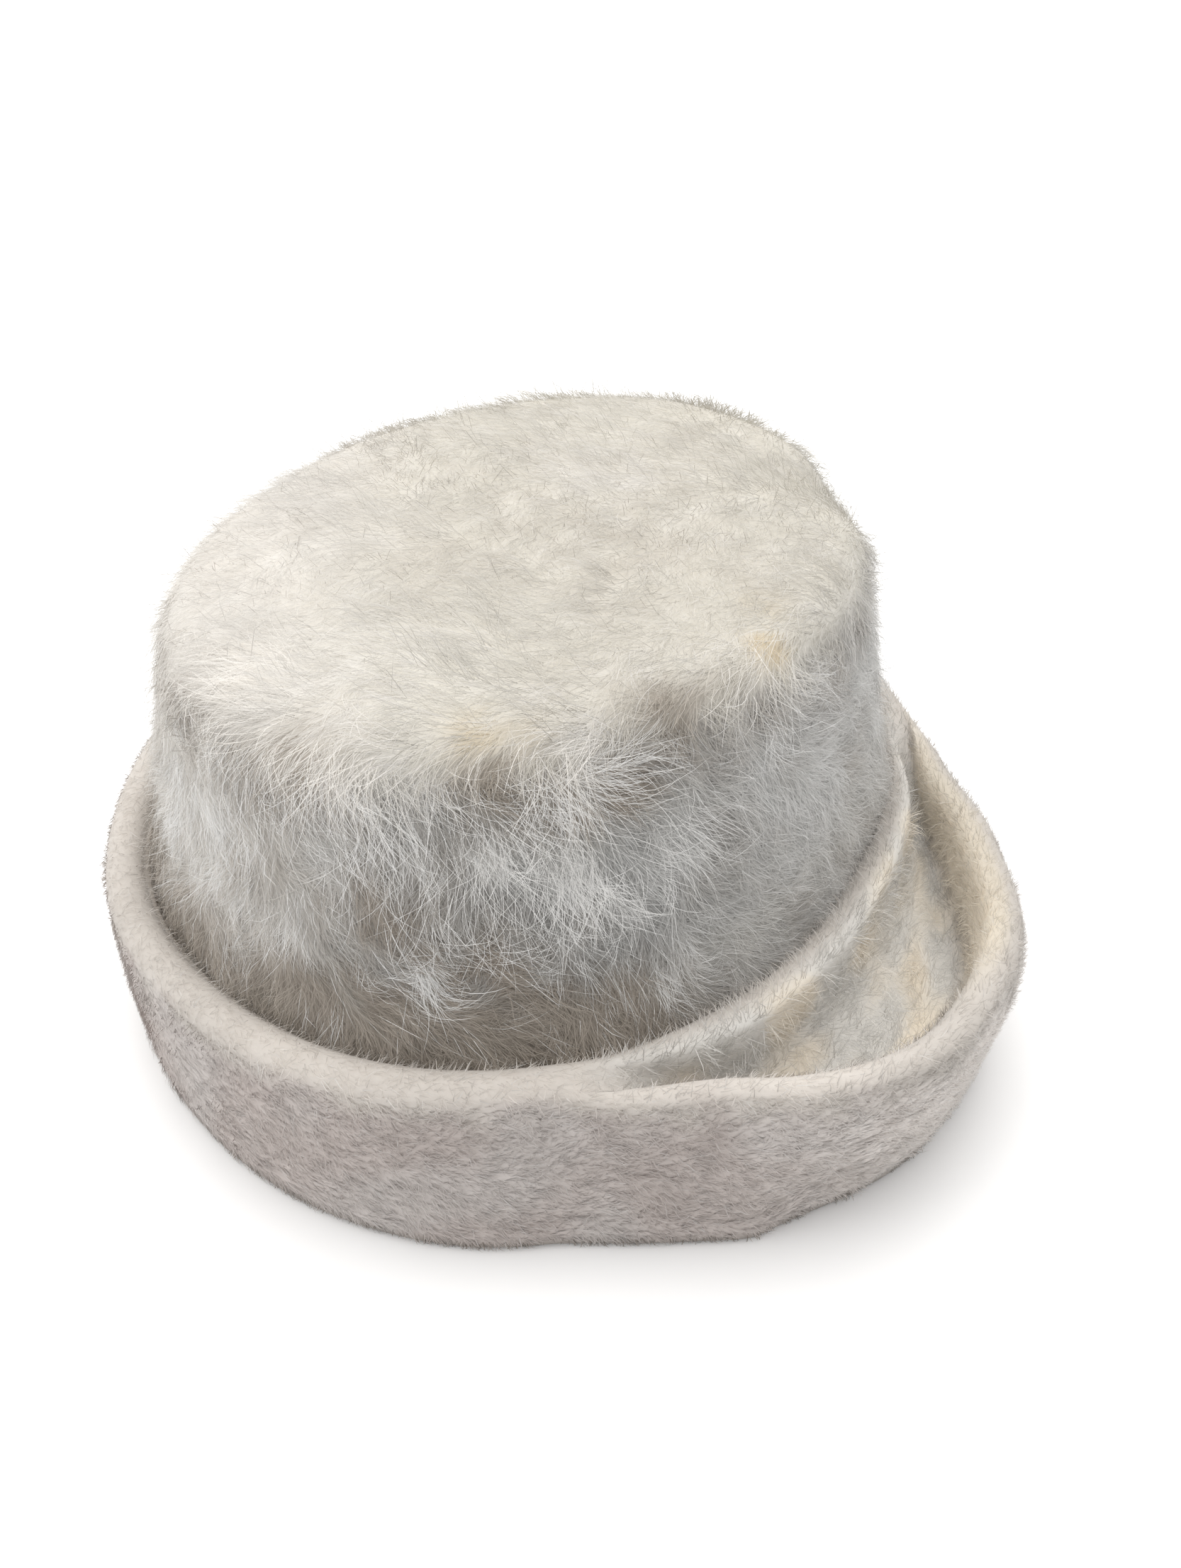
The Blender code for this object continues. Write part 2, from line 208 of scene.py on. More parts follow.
def nearest_gathering(place, size, seed):
    """For each place, the nearest of a set of scattered points: space is cut into cubes of the given
    size, each cube holds one chance point, and the 27 cubes around a place are tried."""
    cells = 64
    points = np.random.default_rng(seed).uniform(0, 1, (cells, cells, cells, 3))
    home = np.floor(place / size).astype(int)
    best = np.full(len(place), np.inf)
    found = place.copy()
    for step in np.ndindex(3, 3, 3):
        cube = home + np.array(step) - 1
        inside = points[tuple(np.mod(cube, cells).T)]
        candidate = (cube + inside) * size
        away = ((candidate - place) ** 2).sum(axis=1)
        nearer = away < best
        best = np.where(nearer, away, best)
        found = np.where(nearer[:, None], candidate, found)
    return found


print("drift at the crown's axis:", drift(np.zeros((1, 3)), 10.0, 0).round(2))

# %% [markdown]
# A hair's lie is a direction within the felt's surface. These few helpers make directions, turn them
# and lay them flat, for every hair at once: each takes whole arrays with a row for each hair.

# %% Directions
DOWN = np.array([0.0, 0.0, -1.0])


def unit(vectors):
    """Vectors made one long."""
    return vectors / np.maximum(np.linalg.norm(vectors, axis=-1, keepdims=True), 1e-9)


def turned(vectors, axes, degrees):
    """Vectors turned about unit axes that stand square to them."""
    angle = np.radians(degrees)[:, None]
    return vectors * np.cos(angle) + np.cross(axes, vectors) * np.sin(angle)


def flattened(vectors, normal):
    """Vectors less their part along the normal, so that they lie within the surface."""
    return vectors - normal * (vectors * normal).sum(axis=1, keepdims=True)


def angle_of(place):
    """Direction of places round the crown's axis, in degrees from +X."""
    return np.degrees(np.arctan2(place[..., 1], place[..., 0]))


def way_out(degrees):
    """The level unit direction at an angle."""
    turn = np.radians(degrees)
    return np.stack([np.cos(turn), np.sin(turn), 0 * turn], axis=1)


def way_round(degrees):
    """The level unit direction square to way_out, towards greater angles."""
    turn = np.radians(degrees)
    return np.stack([-np.sin(turn), np.cos(turn), 0 * turn], axis=1)


def blended(first, second, share):
    """Colours or directions moved from the first to the second, by a share for each row."""
    share = share[:, None]
    return first * (1 - share) + second * share


print("way out and way round at the front:", way_out(np.array([270.0])).round(2),
      way_round(np.array([270.0])).round(2))

# %% [markdown]
# The crown is two skins, one inside the other. Each skin is a grid: its columns stand round the hat,
# and its rows climb the side, turn over the edge on a quarter circle, and close over a shallow dome.
# The outer skin is the felt that the hairs grow from, so it lies under the nap's surface.

# %% Crown skins
def dent_depth(x, y, height):
    """Depth of all dents: a bell over the plan for each, fading down the side."""
    depth = np.zeros_like(x)
    for dent_x, dent_y, reach, deep in DENT_TABLE:
        away = ((x - dent_x) ** 2 + (y - dent_y) ** 2) / reach ** 2
        depth += deep * np.exp(-away)
    return depth * rising(height, DENTS_FROM, DENTS_FULL - DENTS_FROM)


def crown_skin(shrink, low_fill, columns, side_rows, edge_rows, top_rows):
    """One skin as rows of points, from the foot to the middle of the top, where the last row is one
    point. Radius follows the table less shrink, then r - e(1 - cos t) and z + e sin t over the edge,
    then a straight way in under a dome that rises by 1 less the square of the radius. Low down, the
    skin swells by low_fill, where the short nap at the brim is shallow."""
    angle = np.arange(columns) * 360.0 / columns
    foot = SHELF + SEAM_GAP
    shoulder = HAT_HEIGHT - TOP_DOME - TOP_EDGE_RADIUS
    inset = TOP_EDGE_RADIUS - shrink
    heights = foot + (shoulder - foot) * np.arange(side_rows + 1)[:, None] / side_rows
    swell = low_fill * falling(heights, SHALLOW_NAP_FROM, SHALLOW_NAP_FADE)
    side = np.stack([crown_radius(angle[None, :], heights) - shrink + swell,
                     np.broadcast_to(heights, (side_rows + 1, columns))], axis=-1)
    shoulder_radius = side[-1, :, 0]
    t = np.radians(90.0 * np.arange(1, edge_rows + 1) / edge_rows)[:, None]
    edge = np.stack([shoulder_radius - inset * (1 - np.cos(t)),
                     shoulder + inset * np.sin(t) + 0 * shoulder_radius], axis=-1)
    share = 1 - np.arange(1, top_rows + 1)[:, None] / top_rows
    top = np.stack([(shoulder_radius - inset) * share,
                    shoulder + inset + TOP_DOME * (1 - share ** 2) + 0 * shoulder_radius], axis=-1)
    rings = np.concatenate([side, edge, top])
    turn = np.radians(angle)
    x, y, z = rings[..., 0] * np.cos(turn), rings[..., 0] * np.sin(turn), rings[..., 1]
    z = z - dent_depth(x, y, z)
    return np.stack([x, y, z], axis=-1)


CROWN_COLUMNS = 200
FELT_ROWS = (30, 8, 20)         # rows up the side, over the edge and in to the middle
INSIDE_ROWS = (12, 5, 8)
felt_skin = crown_skin(NAP_ROOTS, NAP_ROOTS - SHALLOW_NAP, CROWN_COLUMNS, *FELT_ROWS)
inside_skin = crown_skin(FELT_AND_NAP, 0.0, CROWN_COLUMNS, *INSIDE_ROWS)
print("crown skins:", felt_skin.shape, inside_skin.shape)

# %% [markdown]
# The brim is one closed outline, carried round the hat. It lies flat on the table under the crown,
# climbs beside the crown, rolls over, and comes down outside as the cuff's face. On one side its two
# layers part, and a crescent valley opens between the inner ridge and the outer rim. The outline has
# few points in each direction, and a smooth curve through them gives the soft turns of felt.

# %% Brim outline
ROLL_STEPS = 4


def roll(inner_radius, width, top):
    """A half circle over a layer's crest, from its inner face to its outer one."""
    half = width / 2
    steps = np.radians(180.0 - 180.0 * np.arange(ROLL_STEPS + 1) / ROLL_STEPS)
    return [(inner_radius + half + half * np.cos(t), top - half + half * np.sin(t)) for t in steps]


def brim_columns(angle):
    """Every column of the brim's table, at any angles."""
    return {name: round_values(BRIM_TABLE[:, 0], BRIM_TABLE[:, k], angle)
            for k, name in enumerate(BRIM_COLUMNS, start=1)}


def brim_outline(angle):
    """The brim's outline at each angle, as rows of radius and height. The crest is a blend of two
    outlines with as many points: ridge, valley and rim, or one single roll."""
    col = brim_columns(angle)

    def against_crown(height):
        return crown_radius(angle, height) + col["gutter"]

    ridge_in = against_crown(col["ridge_top"] - col["ridge"] / 2)
    valley_in = ridge_in + col["ridge"]
    rim_in = valley_in + col["valley"]
    rim_out = rim_in + col["rim"]
    valley_depth = col["ridge_top"] - col["ridge"] / 2 - col["valley_floor"]
    parted = roll(ridge_in, col["ridge"], col["ridge_top"])
    for across, rise in VALLEY_TABLE:
        parted.append((valley_in + across * col["valley"],
                       col["valley_floor"] + rise * valley_depth))
    parted += roll(rim_in, col["rim"], col["rim_top"])
    half = (col["ridge"] + col["rim"] + col["valley"]) / 2
    turns = np.radians(180.0 - 180.0 * np.arange(len(parted)) / (len(parted) - 1))
    joined = [(ridge_in + half + half * np.cos(t), col["rim_top"] - half + half * np.sin(t))
              for t in turns]
    blend = smooth_step(col["merge"])
    crest = [((1 - blend) * p[0] + blend * j[0], (1 - blend) * p[1] + blend * j[1])
             for p, j in zip(parted, joined)]
    gutter_corner, gutter_wall = (SHELF + rise for rise in GUTTER_RISES)
    lap_in = crown_radius(angle, 0.0) - SHELF_LAP
    rim_low = crest[-1][1]
    face = [(rim_out + spread * col["spread"] + FACE_BULGE, height * rim_low)
            for height, spread in FACE_TABLE]
    foot_out = rim_out + col["spread"]
    foot_middle = FOOT_ROUND * (1 - np.sqrt(0.5))
    outline = [
        (lap_in, 0.0), (lap_in, SHELF), (crown_radius(angle, SHELF), SHELF),
        (against_crown(gutter_corner), SHELF), (against_crown(gutter_wall), gutter_wall),
        *crest, *face, (foot_out, FOOT_ROUND), (foot_out - foot_middle, foot_middle),
        (foot_out - FOOT_ROUND, 0.0),
    ]
    return np.stack([np.stack([r + 0 * angle, z + 0 * angle], axis=-1) for r, z in outline])


# Where the stretches of the outline begin, counted in its points
GUTTER_AT, RIDGE_AT = 3, 5
VALLEY_AT = RIDGE_AT + ROLL_STEPS + 1
RIM_AT = VALLEY_AT + len(VALLEY_TABLE)
FACE_AT = RIM_AT + ROLL_STEPS + 1
FOOT_AT = FACE_AT + len(FACE_TABLE)
OUTLINE_POINTS = FOOT_AT + 3

SOLID_SECTIONS = 90
coarse = np.arange(SOLID_SECTIONS) * 360.0 / SOLID_SECTIONS
widest = brim_outline(coarse)[..., 0].max(axis=0)
plan = widest[:, None] * way_out(coarse)[:, :2]
HAT_MIDDLE = np.array([*(plan.min(axis=0) + plan.max(axis=0)) / 2, 0.0])
print("outline points:", OUTLINE_POINTS, "- the hat's middle is", HAT_MIDDLE[:2].round(2),
      "mm from the crown's axis")

# %% Brim skin
BRIM_COLUMNS_ROUND = 240
STEPS_BETWEEN = 3


def step_length(first, second):
    """Distance between two arrays of points, with the last axis kept."""
    return np.maximum(np.linalg.norm(second - first, axis=-1, keepdims=True), 1e-6)


def brim_skin(columns, steps):
    """The outline carried round the hat as a grid of points, and the place of each row along the
    outline. From the gutter to the foot, cubic Hermite pieces run through the outline's points. The
    slope at a point is that of its two neighbours, each weighed by the other one's distance, so that
    a long step beside a short one can't throw the curve out."""
    angle = np.arange(columns) * 360.0 / columns
    knots = brim_outline(angle)
    along = np.concatenate([np.arange(GUTTER_AT),
                            GUTTER_AT + np.arange((FOOT_AT - GUTTER_AT) * steps) / steps,
                            np.arange(FOOT_AT, OUTLINE_POINTS)])
    i = np.minimum(along.astype(int), OUTLINE_POINTS - 2)
    t = (along - i)[:, None, None]
    before = knots[np.maximum(i - 1, 0)]
    start, end = knots[i], knots[i + 1]
    after = knots[np.minimum(i + 2, OUTLINE_POINTS - 1)]
    back, here, ahead = step_length(before, start), step_length(start, end), step_length(end, after)
    slope = (end - start) / here
    start_slope = (slope * back + (start - before) / back * here) / (back + here)
    end_slope = (slope * ahead + (after - end) / ahead * here) / (ahead + here)
    curve = (start * (1 + 2 * t) * (1 - t) ** 2 + start_slope * here * t * (1 - t) ** 2
             + end * t * t * (3 - 2 * t) + end_slope * here * t * t * (t - 1))
    turn = np.radians(angle)
    grid = np.stack([curve[..., 0] * np.cos(turn), curve[..., 0] * np.sin(turn),
                     np.maximum(curve[..., 1], 0.0)], axis=-1)
    return grid, along


def grid_normals(grid, closed_end=False):
    """Directions square to a grid that closes round the hat: the cross product of the step round
    the hat and the step along its rows. They point outwards where the rows climb."""
    round_step = np.roll(grid, -1, axis=1) - np.roll(grid, 1, axis=1)
    row_step = np.gradient(grid, axis=0)
    normals = unit(np.cross(round_step, row_step))
    if closed_end:
        normals[-1] = normals[-2].mean(axis=0)
    return unit(normals)


PILE_DEPTH = 0.8        # the brim's ground lies this far under the surface of its pile
brim_ground, brim_along = brim_skin(BRIM_COLUMNS_ROUND, STEPS_BETWEEN)
covered = rising(brim_along, RIDGE_AT, 1.0) * falling(brim_along, FOOT_AT + 1, 1.0)
brim_ground = brim_ground + PILE_DEPTH * covered[:, None, None] * grid_normals(brim_ground)
brim_ground[..., 2] = np.maximum(brim_ground[..., 2], 0.0)
brim_normals = -grid_normals(brim_ground)
felt_normals = grid_normals(felt_skin, closed_end=True)
print("brim grid:", brim_ground.shape)

# %% [markdown]
# Colour belongs to places on the hat. The top is cream, the side pearl grey, the cuff's face a
# faintly pink beige, and the folded edges are the palest felt. A few old yellow marks lie here and
# there. Some tints also paint light and shade: painted shade on the crown's front, under the top's
# edge, beside the brim, on the rim, in the crease and along the cuff's foot, and painted light and
# highlights on the crown's left and in the silk patches. Each ground and each hair takes its tint
# from the same two functions, so hair and ground always agree.

# %% Tints
CREAM = np.array([0.705, 0.682, 0.628])
# Ivory of white hair on the top, and also painted light on the crown's left.
IVORY_AND_LIGHT = np.array([0.765, 0.742, 0.708])
PEARL = np.array([0.770, 0.768, 0.757])
# The white of silky hair, which in places also stands for painted highlights and painted light.
SILK_AND_HIGHLIGHT = np.array([0.860, 0.858, 0.850])
# This brown is worn felt, and is also laid on as painted shade in hollows and creases.
UMBER_AND_SHADE = np.array([0.375, 0.325, 0.272])
# A grey painted shade for the crown's front.
FRONT_SHADE_GREY = np.array([0.320, 0.320, 0.313])
ROSE_GREY = np.array([0.545, 0.490, 0.466])
PALE_OAT = np.array([0.810, 0.765, 0.730])
CUFF_GREY = np.array([0.650, 0.632, 0.618])
OAT = np.array([0.660, 0.620, 0.580])
SAND = np.array([0.880, 0.805, 0.688])
FOLD_WHITE = np.array([0.775, 0.762, 0.735])
MARK = np.array([0.700, 0.530, 0.260])
# A dark brown painted shadow for the cuff's foot.
FOOT_SHADOW = np.array([0.260, 0.225, 0.192])
FOOT_SHADOW_HEIGHT = 3.0         # height of the painted shadow along the cuff's foot, where it meets the table

MARK_TABLE = np.array([
    # x, y, z, reach, strength: from the crown's axis, in millimetres
    (48.5, -46.5, 108.0, 4.0, 0.60),
    (48.5, -33.0, 110.5, 4.0, 0.22),
    (-9.5, -75.0, 108.5, 5.0, 0.25),
    (1.0, -73.5, 108.0, 3.5, 0.15),
    (118.0, -60.0, 44.0, 3.5, 0.40),
    (92.0, -62.0, 22.0, 4.0, 0.30),
])
# Patches of white hair and of umber. The silk patches on the front also paint highlights, and those on the
# top and the left paint light; the umber patches are partly painted shade, in the front's hollows and on
# the top's middle.
PATCH_TABLE = np.array([
    # x, y, z, reach level, reach up, share of silk and painted light (under 0: umber, painted shade)
    (-6.0, -87.0, 87.0, 7.0, 3.4, 0.75),
    (10.0, -85.0, 83.0, 3.8, 8.0, 0.7),
    (5.5, -82.0, 95.0, 7.0, 4.5, 0.3),
    (-22.0, -88.0, 87.0, 9.0, 4.0, 0.4),
    (27.5, -77.0, 81.5, 6.0, 8.0, 0.35),
    (-20.0, -95.5, 61.0, 5.0, 5.0, 0.8),
    (34.5, -82.0, 51.0, 9.0, 6.0, 0.55),
    (-30.0, -82.5, 103.5, 14.0, 6.0, 0.5),
    (12.0, -75.5, 106.0, 7.0, 8.0, 0.6),
    (14.0, 18.0, 117.0, 14.0, 30.0, 0.6),
    (-40.0, -63.0, 112.0, 15.0, 20.0, 0.4),
    (-68.0, -69.0, 80.0, 18.0, 16.0, 0.4),
    (60.0, -54.0, 65.0, 14.0, 24.0, 0.25),
    (13.5, -79.0, 96.0, 14.0, 6.0, -0.95),
    (-4.5, -82.0, 103.0, 9.0, 4.0, -0.5),
    (29.5, -65.0, 106.0, 11.0, 5.0, -0.5),
    (-40.5, -79.0, 104.0, 10.0, 6.0, -0.7),
    (-31.0, -90.0, 77.5, 12.0, 8.0, -0.6),
    (-8.0, -94.5, 66.0, 16.0, 7.0, -0.8),
    (-26.0, -95.5, 56.0, 13.0, 6.0, -0.7),
    (8.0, -95.0, 51.0, 18.0, 6.0, -0.7),
    (-48.0, -89.0, 52.5, 14.0, 8.0, -0.6),
    (12.0, -5.0, 117.0, 36.0, 30.0, -0.14),
])


# A tint comes in over a stretch: the place where it starts and how far on it is full. These are
# millimetres from the crown's axis or above the table, but for the first, which has no unit.
FACES_UP = (0.25, 0.40)                 # height part of a normal where the side turns into the top
PAINTED_LIGHT_LEFT = (-15.0, 50.0)
DARKENING_FADES_RIGHT = (5.0, 45.0)               # the darker band over the brim and the painted shade beside it fade here
# Painted shade on the crown's front: where it comes in, its middle, its reach and its share.
FRONT_SHADE_FROM, FRONT_SHADE_MIDDLE, FRONT_SHADE_REACH, FRONT_SHADE_SHARE = (0.0, 40.0), 2.0, 34.0, 0.85
LOW_BAND, LOW_SHARE, LOW_LOST_RIGHT = (68.0, 26.0), 0.95, 0.85
# Painted shade under the top's edge, in umber: the heights where it comes in, and its share.
SHADE_UNDER_EDGE, SHADE_UNDER_EDGE_SHARE = (86.0, 9.0), 0.30
# Painted shade beside the brim, in umber: how far above the brim it reaches, and its share.
SHADE_BESIDE_BRIM, SHADE_BESIDE_BRIM_SHARE = 9.0, 0.6
WORN_BROAD, WORN_FINE, WORN_ON_TOP = 0.20, 0.14, 0.22
SILK_LEAST, SILK_DRIFT, SILK_LOW, SILK_LOST_LOW = 0.05, 0.14, (64.0, 22.0), 0.8
FULL_PATCH = 0.9                        # the most silk or umber that a place may have
RAGGED = 0.5                            # how far drift changes the strength of marks and patches


def patchy(place, size, seed, most=1.5):
    """The part of drifting noise that is over 0: nothing on half of the felt, patches on the rest."""
    return np.clip(drift(place, size, seed), 0, most)


def ragged(place, size, seed, least):
    """A factor about 1 that makes a bell's edge ragged, from least to 2."""
    return np.clip(1 + RAGGED * drift(place, size, seed), least, 2)


def marked(place, tint):
    """Blends the yellow marks into a tint: a bell round each mark, made ragged by fine drift."""
    strength_here = ragged(place, 5.0, 71, 0)
    for x, y, z, reach, strength in MARK_TABLE:
        away = ((place - np.array([x, y, z])) ** 2).sum(axis=1) / reach ** 2
        tint = blended(tint, MARK, np.clip(strength * np.exp(-away) * strength_here, 0, 1))
    return tint


def patch_share(place, sign):
    """Share of silk, white hair that also paints highlights and light (sign 1), or of umber, brown
    felt that also paints shade (sign -1), in the patches: the sum of a bell in the plan times a bell
    in the height for each, made ragged by drift."""
    share = np.zeros(len(place))
    for x, y, z, level, up, amount in PATCH_TABLE[PATCH_TABLE[:, 5] * sign > 0]:
        plan_away = ((place[:, 0] - x) ** 2 + (place[:, 1] - y) ** 2) / level ** 2
        share += abs(amount) * np.exp(-plan_away - (place[:, 2] - z) ** 2 / up ** 2)
    return np.clip(share * ragged(place, 8.0, 72, 0.1), 0, FULL_PATCH)


def silk_and_highlight_share(place):
    """Share of glossy white hairs on the crown: few in most places, more in slow drifts and many in
    the silk patches, where the white hair also stands for painted highlights and painted light."""
    drifting = SILK_LEAST + SILK_DRIFT * patchy(place, 13.0, 51)
    drifting = drifting * (1 - SILK_LOST_LOW * falling(place[:, 2], *SILK_LOW))
    drifting = drifting * (1 - patch_share(place, -1))
    return np.clip(drifting + patch_share(place, 1), 0, FULL_PATCH)


def crown_tint(place, normal):
    """Cream above, pearl on the side, grey painted shade in front, and ivory painted light on the
    left. Umber shows in slow drifts where the nap has thinned and darkens a band over the brim; it
    is also painted shade under the edge of the top and beside the brim. The band and the shade
    beside the brim fade towards the right."""
    x, y, z = place.T
    upward = rising(normal[:, 2], *FACES_UP)
    tint = blended(PEARL, CREAM, upward)
    # Painted light: the crown's left side is tinted paler, towards ivory.
    tint = blended(tint, IVORY_AND_LIGHT, falling(x, *PAINTED_LIGHT_LEFT))
    # Painted shade: the crown's front, which lies in the lamp's shade, is greyed.
    front = FRONT_SHADE_SHARE * np.exp(-((x - FRONT_SHADE_MIDDLE) / FRONT_SHADE_REACH) ** 2) * falling(y, *FRONT_SHADE_FROM)
    tint = blended(tint, FRONT_SHADE_GREY, front * (1 - upward))
    rightward = rising(x, *DARKENING_FADES_RIGHT)
    worn = WORN_BROAD * patchy(place, 34.0, 11) + WORN_FINE * patchy(place, 12.0, 12)
    low = LOW_SHARE * falling(z, *LOW_BAND) * (1 - LOW_LOST_RIGHT * rightward)
    # Painted shade in umber under the overhang of the top's edge.
    shade_under_edge = SHADE_UNDER_EDGE_SHARE * rising(z, *SHADE_UNDER_EDGE)
    brim_top = brim_columns(angle_of(place))["ridge_top"]
    # Painted shade in umber beside the brim, where the gutter lies dark; it fades towards the right.
    beside = SHADE_BESIDE_BRIM_SHARE * falling(z, brim_top + SHADE_BESIDE_BRIM, SHADE_BESIDE_BRIM) * (1 - rightward)
    share = (worn + low + shade_under_edge + beside) * (1 - upward) + WORN_ON_TOP * worn * upward
    share = np.clip(share + patch_share(place, -1), 0, FULL_PATCH)
    return marked(place, blended(tint, UMBER_AND_SHADE, share))


# The brim's tints come in and go out along its outline, by the count of its points
OUTER = (RIM_AT, 2.0)
SAND_IN, SAND_OUT, SAND_BACK = (RIM_AT - 1.0, 0.8), (RIM_AT + 2.6, 1.2), (-90.0, 30.0)
FOLD_IN, FOLD_OUT = (RIDGE_AT + 1.5, 1.5), (RIM_AT - 0.6, 0.8)
CREASE_OUT, CREASE_SHADE_SHARE = (RIDGE_AT + 1.2, 1.4), 0.8
RIM_SHADE_IN, RIM_SHADE = (RIM_AT + 0.2, 1.6), 0.26
FACE_UNDER_RIM, FACE_WANDER = (2.0, 8.0), 1.5       # depth where oat turns to rose grey
PALE_RIGHT = (30.0, 70.0)
# Painted shade on the rim's oat, towards the left and towards the right.
SHADED_LEFT, SHADE_LEFT = (-40.0, 50.0), 0.14
SHADED_RIGHT, SHADE_RIGHT = (50.0, 40.0), 0.16
COOL_SHARE, WARM_SHARE, FOOT_SHADOW_SHARE = 0.3, 0.6, 0.95
MOST_DRIFT = 1.3


def brim_tint(place, along, angle):
    """Oat on the rolled rim, turning to rose grey down the cuff's face, sand on the rim's inner face,
    pale grey in the fold and umber as painted shade in the crease beside the crown, by the place
    along the outline and the depth under the rim. The cuff's face is paler on the right. The rim's
    oat and sand are darkened by painted shade, and the cuff's foot has a painted shadow where it
    meets the table."""
    x, y, z = place.T
    col = brim_columns(angle)
    apart = 1 - smooth_step(col["merge"])
    outer = rising(along, *OUTER)
    depth = col["rim_top"] - z + FACE_WANDER * drift(place, 12.0, 15)
    face = outer * rising(depth, *FACE_UNDER_RIM)
    rightward = rising(x, *PALE_RIGHT)
    sand = rising(along, *SAND_IN) * falling(along, *SAND_OUT) * rising(y, *SAND_BACK) * apart
    fold = rising(along, *FOLD_IN) * falling(along, *FOLD_OUT) * apart
    # Painted shade: umber in the crease between the crown and the brim's gutter wall.
    crease = CREASE_SHADE_SHARE * falling(along, *CREASE_OUT) * (1 - apart)
    # Painted shade: the rim's oat is darkened on the left, and on the right above the cuff's face.
    shaded = np.where(x < 0, SHADE_LEFT * falling(x, *SHADED_LEFT),
                      SHADE_RIGHT * rising(x, *SHADED_RIGHT) * (along < FACE_AT))
    tint = OAT * (1 - shaded[:, None])
    tint = blended(tint, blended(ROSE_GREY, PALE_OAT, rightward), face)
    # Painted shade: the sand of the rim's inner face is darker towards the rim's top.
    rim_shade = RIM_SHADE * rising(along, *RIM_SHADE_IN)
    tint = blended(tint, SAND * (1 - rim_shade)[:, None], sand)
    tint = blended(tint, FOLD_WHITE, fold)
    tint = blended(tint, UMBER_AND_SHADE, crease)
    cool = COOL_SHARE * patchy(place, 30.0, 13, MOST_DRIFT) * face * (1 - rightward)
    tint = blended(tint, CUFF_GREY, cool)
    tint = blended(tint, SAND, WARM_SHARE * patchy(place, 16.0, 14, MOST_DRIFT) * fold)
    # Painted shadow: a dark line along the cuff's foot, where it meets the table.
    tint = blended(tint, FOOT_SHADOW, FOOT_SHADOW_SHARE * outer * falling(z, FOOT_SHADOW_HEIGHT, FOOT_SHADOW_HEIGHT))
    return marked(place, tint)


axis_top = np.array([[0.0, 0.0, HAT_HEIGHT]])
print("tint in the middle of the top:", crown_tint(axis_top, -DOWN[None]).round(3))

# %% [markdown]
# A strand of nap is a narrow ribbon of three triangles, or of nine for a long wisp, that tapers
# towards a point. Real hair has many more bends, but this hat has a quarter of a million hairs, and
# at arm's length only their lie, their gathering into locks and their catching of the light are seen. Each
# ribbon leaves the felt, lifts a little, lies over in the direction of its flow, bends to one side,
# and leans towards its lock's middle. All the hairs of a region are one mesh, worked out as arrays.
#
# Real hair is so fine that light passes through it. Ribbons with hard shadows would pepper the felt
# with dark specks instead, so hairs cast no shadow here, and only the felt bodies do.

# %% Strand meshes
def scatter(grid, normals, weight, count, seed):
    """Chance places on a grid, even by area times weight: a quad is drawn by its share of the summed
    area, and a place in it by two chance shares. Gives places, normals and row numbers."""
    source = np.random.default_rng(seed)
    across = np.roll(grid, -1, axis=1)
    area = np.linalg.norm(np.cross(across[1:] - grid[:-1], grid[1:] - across[:-1]), axis=-1) / 2
    total = np.cumsum((area * weight).ravel())
    pick = np.searchsorted(total, source.uniform(0, total[-1], count))
    row, column = np.divmod(pick, grid.shape[1])
    beside = (column + 1) % grid.shape[1]
    a, b = source.uniform(0, 1, (2, count, 1))

    def blend(field):
        near = field[row, column] * (1 - b) + field[row, beside] * b
        far = field[row + 1, column] * (1 - b) + field[row + 1, beside] * b
        return near * (1 - a) + far * a
    return blend(grid), unit(blend(normals)), row + a[:, 0]


HAIR_NARROWS = 0.55     # share of its width that a ribbon has lost at its last step


def ribbons(hairs, tilt, segments, seed):
    """Vertices of all ribbons. With t from 0 to 1 along a strand, its middle is the root, plus flow
    times t, plus the normal times 1 - (1 - t) squared, plus the side bend and the pull towards the
    lock's middle times t squared, less the droop times t squared. Width narrows towards the tip, and
    each ribbon lies on the felt tilted by chance, up to tilt in radians."""
    source = np.random.default_rng(seed)
    place, normal, flow, length = (hairs[part] for part in ("place", "normal", "flow", "length"))
    side = np.cross(normal, flow)
    sideways = side * (hairs["bend"] * length)[:, None] + hairs["pull"]
    t = (np.arange(segments + 1) / segments)[None, :, None]
    middle = (place[:, None, :] + (flow * length[:, None])[:, None, :] * t
              + (normal * hairs["lift"][:, None])[:, None, :] * (1 - (1 - t) ** 2)
              + sideways[:, None, :] * t ** 2)
    middle[..., 2] -= (hairs["droop"] * length)[:, None] * t[..., 0] ** 2
    roll_angle = source.uniform(-tilt, tilt, len(place))[:, None]
    width_way = side * np.cos(roll_angle) + normal * np.sin(roll_angle)
    taper = 0.5 * (1 - HAIR_NARROWS * t) * hairs["width"][:, None, None]
    left = middle - width_way[:, None, :] * taper
    right = middle + width_way[:, None, :] * taper
    pairs = np.stack([left[:, :-1], right[:, :-1]], axis=2).reshape(len(place), 2 * segments, 3)
    return np.concatenate([pairs, middle[:, -1:]], axis=1)


def ribbon_triangles(count, segments):
    """Corner numbers: two triangles for each step of a ribbon, and one at its tip."""
    one = []
    for k in range(segments - 1):
        one += [(2 * k, 2 * k + 1, 2 * k + 3), (2 * k, 2 * k + 3, 2 * k + 2)]
    last = 2 * segments - 2
    one.append((last, last + 1, last + 2))
    each = 2 * segments + 1
    return (np.arange(count)[:, None, None] * each + np.array(one)[None]).reshape(-1, 3)


